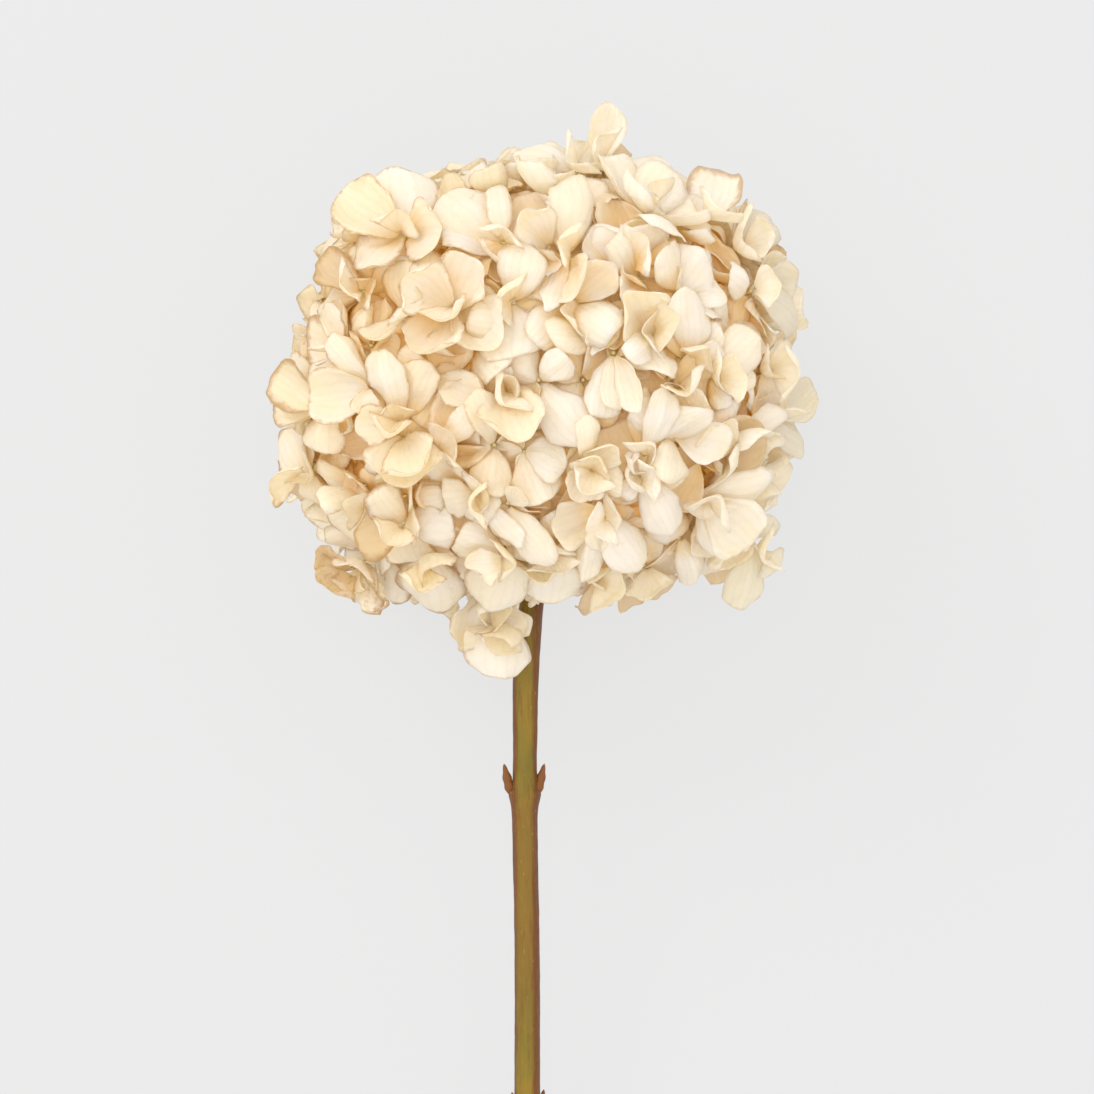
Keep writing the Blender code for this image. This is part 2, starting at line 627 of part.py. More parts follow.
def make_head(parts, cutters, parent, table):
    """Core and florets in one body, clear of the stem and stalks and flat where it rests."""
    head = make_core("flower_head", parts, parent)
    upper = list(upper_florets())
    pieces = new_collection("florets")
    for floret in upper + list(spiral_florets(upper)):
        add_object("floret", floret.mesh(), pieces, parent)
    boolean(head, "UNION", pieces)
    remove_collection(pieces)
    thin_out(head, HEAD_TRIANGLES)
    boolean(head, "DIFFERENCE", stalk_body("stalk_clearance", CLEARANCE, cutters, parent))
    boolean(head, "DIFFERENCE", stem_rod("stem_clearance", CLEARANCE, cutters, parent))
    boolean(head, "DIFFERENCE", table)
    keep_largest_body(head)
    return head


def ray_paths():
    """Each ray of the flower stalks and its two forks, as points and radii."""
    up = Vector((0, 1, 0))
    for i in range(RAY_COUNT):
        around = math.tau * (i + 0.5) / RAY_COUNT
        out = Vector((math.cos(around), 0, math.sin(around)))
        spread = RAY_SPREADS[i % 2]
        heading = up * math.cos(spread) + out * math.sin(spread)
        bend = KNOT_CENTRE + heading * RAY_LENGTH * 0.5
        fork = KNOT_CENTRE + heading.lerp(up, FORK_LIFT) * RAY_LENGTH
        yield [KNOT_CENTRE, bend, fork], [RAY_RADIUS, RAY_RADIUS, FORK_RADIUS]
        for turn in (-FORK_SPREAD, FORK_SPREAD):
            branch = turned_about(heading, out.cross(heading.cross(out)).normalized(), turn)
            start = fork - heading * FORK_ROOT
            yield [start, fork + branch * FORK_LENGTH], [FORK_RADIUS, FORK_RADIUS * FORK_TAPER]


def stalk_body(name, growth, collection, parent):
    """The knot with its forked rays, with every surface moved out by growth."""
    bm = bmesh.new()
    bmesh.ops.create_icosphere(bm, subdivisions=2, radius=KNOT_RADIUS + growth)
    bmesh.ops.translate(bm, vec=KNOT_CENTRE, verts=bm.verts)
    body = add_object(name, mesh_of(bm, name), collection, parent)
    rays = new_collection("rays")
    for points, radii in ray_paths():
        first = points[0] - (points[1] - points[0]).normalized() * growth
        last = points[-1] + (points[-1] - points[-2]).normalized() * growth
        grown = [radius + growth for radius in radii]
        tube("ray", [first] + points[1:-1] + [last], grown, 1, rays, parent)
    boolean(body, "UNION", rays)
    remove_collection(rays)
    return body


def make_stalks(parts, cutters, parent):
    """The pale stalks under and inside the head, cut flat where they stand on the stem."""
    stalks = stalk_body("flower_stalks", 0.0, parts, parent)
    size = FOOT_CUTTER_SIZE
    place = Matrix.Translation((KNOT_CENTRE.x, KNOT_FOOT_Y - size / 2, 0))
    foot = box_cutter("knot_foot", (size, size, size), place, parent, cutters)
    return boolean(stalks, "DIFFERENCE", foot)


def stem_rod(name, growth, collection, parent):
    """The stem without its buds, with its side moved out by growth."""
    points = [Vector((x * MM, y * MM, 0)) for x, y, _ in STEM_LINE]
    radii = [radius * MM + growth for _, _, radius in STEM_LINE]
    return tube(name, points, radii, STEM_BEVEL_RESOLUTION, collection, parent)


def add_bud(x, y, turn, collection, parent):
    """A pointed bud pressed against the stem, on the ledge of its leaf scar."""
    bm = bmesh.new()
    bmesh.ops.create_uvsphere(bm, u_segments=8, v_segments=6, radius=1)
    for vert in bm.verts:
        slimness = 1 - BUD_TAPER * ((vert.co.z + 1) / 2) ** 2
        vert.co.x *= BUD_HALF_DEPTH * slimness
        vert.co.y *= BUD_HALF_WIDTH * slimness
        vert.co.z = (vert.co.z + BUD_RISE) * BUD_LENGTH / 2
    place = Matrix.Translation((x * MM, y * MM, 0))
    place @= Matrix.Rotation(turn, 4, "Y") @ Matrix.Rotation(math.radians(-90), 4, "X")
    place @= Matrix.Translation((BUD_OFFSET, 0, 0)) @ Matrix.Rotation(BUD_LEAN, 4, "Y")
    bmesh.ops.transform(bm, matrix=place, verts=bm.verts)
    add_object("bud", mesh_of(bm, "bud"), collection, parent)


def make_stem(parts, cutters, parent, table):
    """The woody stem with its buds, cut at a slant and flat where its end rests."""
    stem = stem_rod("stem", 0.0, parts, parent)
    buds = new_collection("buds")
    for x, y, turn in STEM_NODES:
        add_bud(x, y, math.radians(turn), buds, parent)
        add_bud(x, y, math.radians(turn + 180), buds, parent)
    boolean(stem, "UNION", buds)
    remove_collection(buds)
    size = END_CUTTER_SIZE
    foot = Vector((STEM_LINE[-1][0] * MM, STEM_END_Y, -STEM_END_RADIUS))
    slant = Matrix.Translation(foot) @ Matrix.Rotation(-STEM_CUT_ANGLE, 4, "X")
    slant @= Matrix.Translation((0, -size / 2, 0))
    cut = box_cutter("slanted_cut", (size, size, 2 * size), slant, parent, cutters)
    boolean(stem, "DIFFERENCE", cut)
    return boolean(stem, "DIFFERENCE", table)


def finish(obj, paint):
    obj.data.materials.clear()
    obj.data.materials.append(paint)
    obj.data.shade_smooth()
    obj.data.set_sharp_from_angle(angle=SHARP_EDGE)


def main():
    clear_scene()
    parts = new_collection("dried_hydrangea_stem")
    cutters = new_collection("cutters")
    laid = bpy.data.objects.new("laid_plant", None)
    parts.objects.link(laid)
    laid.matrix_world = LAYING
    under = Matrix.Translation((0, 0, -TABLE_SIZE[2] / 2))
    table = box_cutter("table", TABLE_SIZE, under, None, cutters)
    finish(make_stalks(parts, cutters, laid), material("flower_stalks", PALE_GREEN, 0.6))
    finish(make_head(parts, cutters, laid, table), material("dried_sepals", CREAM, 0.75))
    finish(make_stem(parts, cutters, laid, table), material("woody_stem", OLIVE_BROWN, 0.55))
    for cutter in cutters.objects:
        cutter.hide_render = True
        cutter.display_type = "WIRE"


main()
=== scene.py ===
"""Looks for the dried hydrangea: papery sepals, woody stem, stage, light and camera.

The plant frame is the one that the solids were built in: its origin is the middle of the
flower head, +Y runs to the head's top, -Y down the stem, and +Z is the uppermost side.
"""

import math
import random
from itertools import product

import bpy
import numpy as np
from mathutils import Euler, Matrix, Vector


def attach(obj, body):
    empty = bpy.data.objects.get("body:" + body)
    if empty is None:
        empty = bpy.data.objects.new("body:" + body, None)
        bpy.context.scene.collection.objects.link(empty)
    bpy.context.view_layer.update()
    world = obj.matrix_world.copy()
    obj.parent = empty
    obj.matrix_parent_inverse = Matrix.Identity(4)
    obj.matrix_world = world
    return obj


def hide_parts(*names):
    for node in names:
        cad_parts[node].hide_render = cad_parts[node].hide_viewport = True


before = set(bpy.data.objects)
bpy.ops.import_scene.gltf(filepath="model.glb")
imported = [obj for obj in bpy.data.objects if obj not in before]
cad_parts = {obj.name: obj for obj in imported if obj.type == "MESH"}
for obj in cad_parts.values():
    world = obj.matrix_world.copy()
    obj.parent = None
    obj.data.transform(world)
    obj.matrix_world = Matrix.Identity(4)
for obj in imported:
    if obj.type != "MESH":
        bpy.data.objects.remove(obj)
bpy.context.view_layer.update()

MM = 0.001

# How the plant lies: the same values as the solids.
HEAD_HALF = np.array((72.0, 64.0, 64.0))
HEAD_SQUARENESS = 2.5
HEAD_HEIGHT = 62.0
STEM_END_Y = -310.0
STEM_END_DROP = 3.7
SLOPE = math.asin((HEAD_HEIGHT - STEM_END_DROP) / -STEM_END_Y)
LAYING = Matrix.LocRotScale(Vector((0, 0, HEAD_HEIGHT * MM)), Euler((SLOPE, 0, 0)), None)
TURN = np.array(LAYING.to_3x3())
DOWN = TURN.T @ np.array((0.0, 0.0, -1.0))
STEM_UP = np.array((0.0, 1.0, 0.0))

# The camera looks square at the plant: the picture's middle in the plant frame, in mm, the
# picture's width there, the distance, the sensor's width, and how many metres it sees far.
VIEW_MIDDLE = (3.5, -49.0)
VIEW_WIDTH = 321.1
VIEW_DISTANCE = 1500.0
SENSOR_WIDTH = 36.0
SEEN_METRES = 20.0

# The picture: how often light bounces in all and off matt surfaces, and its gamma.
BOUNCES = 10
DIFFUSE_BOUNCES = 8
GAMMA = 1.3

# Florets of the uppermost side, in mm and degrees as the camera sees them: centre x, y and
# how far it lies below the head's surface, then for each sepal its tip x and y, its width,
# how far it stands up from the surface, its roll about its length, its cup, 1 hollow or -1
# domed, and where it matters its look: b bleached, t tan, d dry brown rim, c crumpled,
# f frilly, g greyish: painted shade for the thin sepals of the head's shaded right side.
UPPER_FLORETS = [
    ((-38, 42, 5), (-41, 62, 18, -15, 0, -1, "b"), (-56, 50, 15, 10, 15, 1, "f"),
     (-54, 33, 15, 20, -10, 1, "df"), (-26, 44, 14, 25, 30, 1)),
    ((-9, 40, 4), (-23, 57, 19, 15, 0, -1), (-10, 60, 6, 20, 55, -1),
     (-27, 46, 8, 10, 45, -1, "b")),
    ((-21, 44, 9), (-33, 55, 9, 0, 30, -1), (-28, 62, 8, -10, 0, 1)),
    ((4, 38, 6), (0, 59, 14, 10, -20, 1), (-3, 49, 11, 30, 10, 1)),
    ((10, 36, 4), (9, 55, 5, 15, 60, -1), (15, 59, 9, 8, 30, -1), (1, 21, 5, 20, 55, -1),
     (11, 22, 13, 15, 15, 1)),
    ((13, 60, 2), (5, 71, 18, 10, 0, -1), (-7, 65, 9, 5, 20, -1), (14, 69, 8, 0, 30, 1)),
    ((19, 62, 2), (22, 81, 9, 0, 0, 1), (26, 66, 6, 10, 30, -1, "t"), (16, 68, 6, 5, 0, 1)),
    ((28, 32, 9), (26, 44, 21, 35, 0, -1, "b"), (38, 49, 13, 15, 30, 1), (16, 46, 12, 5, -20, 1),
     (28, 56, 14, 5, 0, 1)),
    ((35, 55, 3), (36, 67, 19, -5, 0, -1), (50, 51, 15, 5, 0, -1), (47, 40, 6, 20, 50, -1)),
    ((49, 46, 4), (55, 60, 13, 0, -10, 1, "d"), (60, 43, 8, 10, 0, -1)),
    ((42, 26, 4), (51, 37, 14, 15, 0, -1), (37, 38, 10, 25, 20, -1), (56, 25, 8, 0, 0, -1)),
    ((60, 38, 3), (61, 48, 8, 10, 0, 1, "tc"), (68, 48, 9, -10, 10, -1, "g"),
     (73, 36, 5, 0, 0, 1, "tcf")),
    ((63, 26, 4), (77, 27, 11, -5, 0, 1, "gf"), (75, 16, 9, -5, 0, -1, "g"),
     (55, 31, 9, 10, 0, -1)),
    ((45, 6, 5), (37, 24, 8, 20, 40, -1), (45, 27, 12, 15, 10, -1), (53, 17, 9, 5, -30, -1)),
    ((34, 14, 3), (26, 26, 14, 15, 10, 1), (27, 6, 7, 40, 0, -1, "b"), (36, 2, 9, 35, 0, -1)),
    ((20, 14, 4), (4, 12, 9, 20, 30, -1), (8, 22, 7, 10, 40, 1), (19, 25, 9, 10, 0, -1)),
    ((23, 8, 1), (16, -11, 10, 5, 10, -1, "b"), (25, -9, 7, 12, -10, -1), (31, -9, 6, -5, 40, 1)),
    ((1, 0, 3), (13, -20, 12, 10, 0, -1, "b"), (-8, 6, 12, 10, 0, -1), (11, 5, 7, 10, 40, -1)),
    ((-8, -3, 6), (-5, -20, 15, 20, 0, 1), (-15, 3, 8, 15, 30, -1), (3, -11, 8, 15, 30, 1)),
    ((16, -26, 3), (15, -10, 5, 20, 55, -1), (23, -19, 7, 20, 10, 1), (11, -36, 10, 10, 0, 1),
     (26, -31, 7, 15, 30, -1)),
    ((-12, -19, 4), (-13, -35, 10, 10, 10, -1), (-15, -1, 7, 15, 30, -1)),
    ((-3, -21, 3), (2, -36, 11, 15, 0, -1), (9, -23, 9, 5, 0, -1)),
    ((-17, -34, 3), (-5, -48, 6, 10, 30, -1), (-27, -36, 10, 10, 0, -1)),
    ((-8, -36, 1), (4, -54, 8, 12, 10, -1), (-3, -30, 6, 0, 0, 1)),
    ((20, -39, 2), (5, -44, 12, -5, 0, 1), (12, -58, 7, 5, 30, -1), (20, -51, 9, 20, 0, -1),
     (32, -56, 10, 5, -10, -1)),
    ((30, -28, 2), (43, -45, 10, 10, 0, -1, "b"), (23, -34, 7, 20, 30, -1),
     (43, -27, 9, -15, 0, 1)),
    ((32, -22, 2), (32, -2, 7, 15, 30, -1), (39, -1, 8, 10, -20, -1), (50, -7, 9, 10, 0, -1)),
    ((41, -2, 5), (55, 10, 7, 10, 30, -1), (49, -6, 6, 0, 30, 1)),
    ((52, 1, 3), (65, 14, 11, 8, 10, -1), (64, 3, 8, 5, 0, -1), (54, -8, 7, 15, 20, -1)),
    ((48, -24, 5), (50, -12, 9, 25, 0, -1), (60, -12, 9, 20, 30, 1), (71, -16, 15, 5, -15, 1, "t")),
    ((49, -35, 3), (68, -31, 12, 5, 0, -1), (63, -47, 15, 10, 0, 1), (49, -50, 7, 10, 40, -1)),
    ((53, -47, 8), (54, -58, 9, -10, 0, 1, "t"), (45, -57, 8, -10, 20, -1)),
    ((64, -48, 6), (61, -68, 9, -10, 0, -1, "g"), (71, -56, 10, -10, 0, -1, "g"),
     (72, -42, 8, -20, 10, -1, "g")),
    ((69, -11, 5), (80, -3, 9, -10, 0, 1, "g"), (78, -19, 8, -15, 0, -1, "g")),
    ((67, 3, 5), (75, 0, 7, -10, 0, -1, "t"), (72, 11, 7, -15, 0, 1)),
    ((-61, -8, 3), (-74, 3, 12, 5, 10, 1, "d"), (-76, -9, 9, 0, 25, 1, "d"),
     (-57, 5, 12, 15, 0, -1),
     (-62, -21, 13, 15, 0, -1)),
    ((-66, -27, 2), (-76, -15, 11, 0, 15, -1, "d"), (-70, -33, 6, -5, 0, 1, "t"),
     (-61, -40, 9, 0, 10, -1)),
    ((-55, 8, 5), (-67, 11, 11, 5, 10, 1, "d"), (-60, 21, 6, 0, 30, 1)),
    ((-40, -12, 2), (-43, 10, 10, 8, 0, -1), (-33, 6, 9, 10, 0, -1), (-51, -14, 9, 5, 0, 1)),
    ((-47, -2, 2), (-57, 14, 7, 10, 30, -1), (-50, -12, 7, 10, 0, 1)),
    ((-48, 10, 6), (-53, 22, 9, 20, 0, -1), (-47, 25, 7, 10, 30, -1), (-38, 8, 9, 0, 0, 1)),
    ((-24, 21, 6), (-35, 6, 16, 20, 0, 1), (-38, 31, 14, 15, 0, 1), (-16, 35, 13, 5, 0, 1),
     (-9, 11, 14, 15, 0, 1)),
    ((-7, 23, 3), (-2, 42, 12, 12, 0, -1), (-3, 7, 16, 12, 0, -1)),
    ((-50, 26, 5), (-61, 32, 9, 0, 10, 1, "td"), (-64, 24, 9, -5, 0, -1, "d"),
     (-35, 35, 8, 10, 40, -1)),
    ((-27, -20, 4), (-20, 3, 13, 10, 0, 1), (-17, -8, 7, 25, 20, -1)),
    ((-38, -16, 3), (-31, -26, 13, 30, 0, 1), (-48, -22, 11, 20, 20, -1), (-38, -32, 18, 15, 0, 1)),
    ((-49, -36, 6), (-58, -28, 11, 10, 0, 1), (-60, -44, 12, 10, 0, -1, "df"),
     (-48, -26, 7, 10, 30, -1)),
    ((-38, -42, 3), (-51, -42, 13, 10, 0, 1, "td"), (-24, -43, 13, 12, 0, -1, "b"),
     (-46, -31, 9, 15, 20, -1, "df")),
    ((-51, -54, 4), (-60, -61, 11, 0, 0, 1, "tcf"), (-51, -66, 12, 0, 0, -1, "dcf"),
     (-42, -65, 11, -5, 0, 1, "dcf"), (-63, -48, 10, -10, 0, 1, "tc")),
    ((-43, -52, 5), (-44, -64, 12, 0, 10, -1, "d"), (-34, -60, 11, 5, 0, 1, "df")),
    ((-30, -52, 3), (-30, -69, 18, 12, 0, -1, "d"), (-22, -62, 7, 0, -30, -1, "d")),
    ((-9, -50, 2), (-23, -46, 11, 15, 0, -1), (-20, -55, 7, 15, 20, 1, "f"),
     (-11, -66, 15, 5, 0, -1, "f")),
    ((5, -50, 3), (4, -67, 14, 5, 0, -1), (14, -50, 8, -10, 0, 1)),
    ((-13, -62, 2), (-22, -79, 11, 0, 0, 1, "f"), (-15, -76, 11, 8, 15, -1, "bf"),
     (-4, -77, 11, 0, -10, 1, "f")),
    ((-10, -70, -6), (-11, -88, 16, -12, 0, -1, "b"), (-19, -68, 11, -10, 0, 1),
     (-2, -70, 11, -10, 0, 1)),
    ((18, -56, 8), (16, -70, 6, -5, 0, -1, "t"), (22, -66, 9, -10, 0, -1, "t"),
     (8, -62, 6, 0, 50, -1)),
    ((32, -54, 9), (28, -64, 9, -5, 0, 1, "t"), (38, -61, 9, -10, 0, -1, "t")),
    ((42, -46, 9), (37, -59, 12, -5, 0, 1), (47, -57, 8, -5, 0, -1)),
]

# What the upper florets share: a sepal's greatest length, how much wider than listed it is,
# how many degrees more a hollow or a domed one stands up, how many its roll is drawn either
# way, and how strongly a floret turns outward. Each floret is filled up to so many sepals
# and gets a few short ones; FILL and CROWD are ranges of length, width and lift. The first
# florets of the list make one piece and the others another, so that neither is too large.
LONGEST_UPPER_SEPAL = 21.0
UPPER_WIDENING = 1.2
HOLLOW_LIFT = 24.0
DOMED_LIFT = 10.0
ROLL_SPREAD = 18
UPPER_OUTWARD = 0.8
UPPER_SEPALS = 4
UPPER_FILL = ((15, 19), (12, 16), (-38, -12))
UPPER_CROWD_COUNTS = (0, 1, 2, 2)
UPPER_CROWD = ((9, 13), (12, 16), (52, 80))
FIRST_UPPER_PIECE = 28

# The head's outline as the camera sees it, in mm of the plant frame's middle plane, without
# the few sepals that stand out of it. The layers' florets stay RIM_ROOM inside it.
OUTLINE = [
    (76, -10), (73, -3), (71, 3), (71, 8), (74, 14), (76, 22), (73, 30), (70, 35), (69, 41),
    (66, 47), (60, 50), (58, 56), (53, 59), (47, 60), (40, 65), (33, 66), (26, 66), (20, 66),
    (12, 70), (0, 68), (-8, 64), (-18, 62), (-30, 61), (-40, 61), (-50, 55), (-57, 45),
    (-60, 36), (-62, 28), (-62, 20), (-68, 10), (-74, 4), (-77, -7), (-77, -16), (-70, -24),
    (-68, -30), (-63, -38), (-64, -45), (-61, -54), (-60, -60), (-52, -64), (-40, -64),
    (-30, -67), (-20, -66), (-8, -66), (5, -62), (13, -60), (20, -62), (28, -61), (36, -59),
    (45, -56), (52, -56), (60, -57), (68, -52), (71, -42), (73, -35), (74, -27), (76, -20),
]
RIM_ROOM = 8.0
SURFACE_FOLLOWING = 0.85
LOWEST_UPPER_CENTRE = 12.0
UPPER_SINK = 3.0

# Layers of florets set on a spiral over the whole ball: how many, how far they lie below
# the head's surface, their sepals' length and width, how far the sepals open, how near a
# floret may come to those placed before, and how many short sepals stand in its middle.
OUTER_LAYER = dict(
    count=170, sink=(6, 11), length=(16, 21), width=(12, 16), open=(10, 48), clear=14, seed=21,
    inner=2,
)
UNDER_LAYER = dict(
    count=165, sink=(9, 15), length=(15, 19), width=(10, 14), open=(5, 45), clear=0, seed=22,
    inner=0,
)
DEEP_LAYER = dict(
    count=90, sink=(18, 25), length=(13, 16), width=(12, 15), open=(0, 45), clear=0, seed=23,
    inner=0,
)

# What the layers share: how many sepals a floret has, the short ones' length, width and
# lift, and how far it is turned. Then how high the outer layer goes, how near to the stem's
# axis a floret and a sheet may come, and the y below which that counts for sheets.
LAYER_SEPALS = (4, 4, 4, 4, 5, 3)
LAYER_CROWD = ((8, 11), (10, 14), (50, 78))
FACING_SPREAD = 0.35
OUTER_UPPER_LIMIT = 42.0
STEM_GAP = 12
STEM_CLEARANCE = 5.2
STEM_ZONE_TOP = -36

# A sepal's control grid: shares of its length, of its half width, and its half width there.
GRID_ALONG = np.array((0.0, 0.12, 0.28, 0.46, 0.65, 0.84, 1.0))
GRID_ACROSS = np.array((-1.0, -0.5, 0.0, 0.5, 1.0))
GRID_HALF_WIDTH = np.array((0.17, 0.46, 0.80, 0.98, 1.03, 0.93, 0.70))
TIP_ROUNDING = 0.15
SHEET = 0.30
FRILL = 2.3
LOWEST_SHEET = 0.2

# Edges that bend by more degrees than this are shown sharp.
SHEET_SHARP_ANGLE = 180
TUBE_SHARP_ANGLE = 60

# Slow bends that neighbouring sheets share: amount and scale in mm, and seed.
DRIFTS = ((0.45, 17.0, 3), (0.22, 7.0, 4))

# Near the table a sheet bends so as to stay above PRESS_LOWEST, from PRESS_START down.
PRESS_LOWEST = 0.25
PRESS_START = 5.0

# Settling: sepals are pushed apart until neighbouring sheets lie this far from each other.
# Points further out than LAST_SETTLED times the head's surface stay, and a push is smoothed
# over its sepal. Points count as neighbours by their place on a ball of MIDDLE_REACH.
SETTLE_ROUNDS = 14
SETTLE_GAP = 1.15
SETTLE_REACH = 2.7
SETTLE_LIMIT = 4.5
SETTLE_DEPTH = 9
LARGEST_PUSH = 1.6
PUSH_SHARE = 0.9
LAST_SETTLED = 1.13
SHIFT_SMOOTHING = 6
MIDDLE_REACH = 66.0
COVER_REACH = 3.0

# The stem: its centreline and radius (x, y, radius) as in the solids, and its two nodes
# (x, y, turn of the pair of buds about the stem in degrees).
STEM_LINE = [
    (1.6, -43.8, 3.3), (0.6, -54, 3.5), (-1.2, -67, 3.6), (-2.9, -90, 3.8), (-3.2, -111, 3.5),
    (-3.2, -117, 3.6), (-3.2, -121, 3.9), (-3.2, -124, 3.9), (-3.1, -129, 3.75),
    (-2.5, -153, 3.65), (-2.3, -182, 3.7), (-2.1, -207, 3.75), (-2.1, -213, 3.8),
    (-2.1, -217, 4.1), (-2.2, -220, 4.1), (-2.3, -226, 4.0), (-2.9, -250, 3.95),
    (-3.6, -280, 4.0), (-4.0, -318, 4.1),
]
STEM_TOP_Y = -43.9
STEM_END_RADIUS = 4.1
STEM_CUT_ANGLE = math.radians(32)
STEM_NODES = [(-3.2, -121.0, 4), (-2.1, -217.0, 38)]
STEM_MIDDLE_X = 0.30
SCAR_RISE = 0.9
BUD_LENGTH = 9.5
BUD_RADIUS = 1.6
BUD_LEAN = math.radians(13)
BUD_OFFSET = 4.0
BUD_TAPER = 0.55
BUD_RISE = 0.78
BUD_SIDES = 16
STEM_SIDES = 48
STEM_RINGS = 440

# The stem's ripples: seed, amount in mm, how often they go round, and pitch along it.
STEM_RIPPLES = (
    (5, 0.10, (1, 2, 3), 60.0), (6, 0.05, (5, 7, 9, 11), 45.0), (8, 0.03, (1, 2, 4), 4.0),
)

# The cut's rings: share of the stem's radius, how far in they lie, and 2 wood or 3 pith.
CUT_RINGS = (
    (0.94, -0.05, 2), (0.80, 0.0, 2), (0.64, 0.0, 2), (0.48, 0.1, 3), (0.36, 0.5, 3),
    (0.22, 0.6, 3),
)
CUT_DEPTH = 0.6
CUT_REACH = 16

# The flower stalks, as in the solids. Then each pedicel: how far its knob's rings stand
# before the floret's centre, and the radii of all its rings.
KNOT_CENTRE = np.array((1.8, -40.0, 0.0))
RAY_COUNT = 7
RAY_LENGTH = 31.0
RAY_RADIUS = 1.8
RAY_SPREADS = (math.radians(52), math.radians(38))
FORK_LENGTH = 16.0
FORK_LIFT = 0.1
FORK_RADIUS = 1.35
FORK_SPREAD = math.radians(30)
PEDICEL_KNOB = np.array((1.0, 0.75, 0.2, -0.5))
PEDICEL_RADII = (0.25, 0.55, 0.62, 0.5, 0.45, 0.45, 0.45, 0.48, 0.5, 0.55, 0.6, 0.6)

# Light: the surround's strength, each lamp's place in metres, size and power, then colour,
# power and radius of the lamp within the head. The floor's side is in metres.
SURROUND = 1.20
LAMPS = [
    ("window", (-1.1, 0.9, 1.5), 1.0, 13.0),
    ("front", (-0.1, -0.35, 2.3), 1.0, 10.0),
]
INNER_GLOW = (1.0, 0.76, 0.45)
INNER_GLOW_POWER = 0.13
INNER_GLOW_RADIUS = 0.02
FLOOR_SIDE = 24.0


def tint(red, green, blue):
    """A colour for a shader from its everyday values, 0 to 255."""
    parts = [value / 255 for value in (red, green, blue)]
    linear = [p / 12.92 if p <= 0.04045 else ((p + 0.055) / 1.055) ** 2.4 for p in parts]
    return (*linear, 1.0)


PALE = tint(255, 253, 249)
MELLOW = tint(254, 249, 233)
WARM = tint(253, 243, 214)
TAWNY = tint(248, 232, 184)
# Painted golden shade for sepals that lie deep in the head or under other sheets.
SHADE_GOLD = tint(255, 217, 136)
TAN = tint(220, 186, 130)
# Painted shade: the greyish look of thin sepals on the head's shaded right side.
SHADE_GREY = tint(232, 228, 212)
CLAW = tint(230, 198, 118)
BROWN = tint(172, 120, 58)
GILT = tint(200, 142, 62)
VEIN = tint(206, 168, 112)
GLOW = tint(255, 239, 192)
STALK_GREEN = tint(182, 176, 100)
STALK_TAN = tint(196, 168, 112)
STALK_BROWN = tint(130, 90, 50)
MUSTARD = tint(116, 88, 12)
OLIVE = tint(97, 80, 10)
# Red-brown of the bark's streaks, and of the painted shade along the stem's sides.
RUSSET_STREAK_AND_SHADE = tint(84, 34, 4)
BARK_PALE = tint(134, 106, 34)
BARK_BROWN = tint(103, 66, 10)
BUD_BROWN = tint(104, 56, 16)
CUT_WOOD = tint(205, 186, 142)
PITH = tint(228, 218, 196)
TABLE = tint(90, 90, 90)
TABLE_GLOW = tint(208, 208, 208)
TRANSLUCENT_SHARE = 0.48


def head_power(points):
    """1 on the head's surface, less within it, as a power of the share of its size."""
    return np.sum(np.abs(points / HEAD_HALF) ** HEAD_SQUARENESS, axis=-1)


def head_reach(direction):
    return head_power(direction) ** (-1 / HEAD_SQUARENESS)


def head_depth(x, y):
    """Height of the head's upper surface over the plant frame's XY plane."""
    used = abs(x / HEAD_HALF[0]) ** HEAD_SQUARENESS + abs(y / HEAD_HALF[1]) ** HEAD_SQUARENESS
    return HEAD_HALF[2] * max(0.0, 1 - used) ** (1 / HEAD_SQUARENESS)


def unit(vector):
    return vector / max(np.linalg.norm(vector), 1e-9)


def outward(point):
    power = HEAD_SQUARENESS - 1
    slopes = np.abs(point / HEAD_HALF) ** power / HEAD_HALF
    return unit(np.sign(point) * slopes)


def perpendicular(axis):
    return np.array(Vector(axis).orthogonal().normalized())


def turned(vector, axis, angle):
    return np.array(Matrix.Rotation(angle, 3, Vector(axis)) @ Vector(vector))


def seen(x, y, z):
    """The plant-frame point at height z that the camera sees at x, y of the middle plane."""
    nearer = (VIEW_DISTANCE - z) / VIEW_DISTANCE
    return np.array((
        VIEW_MIDDLE[0] + (x - VIEW_MIDDLE[0]) * nearer,
        VIEW_MIDDLE[1] + (y - VIEW_MIDDLE[1]) * nearer,
        z,
    ))


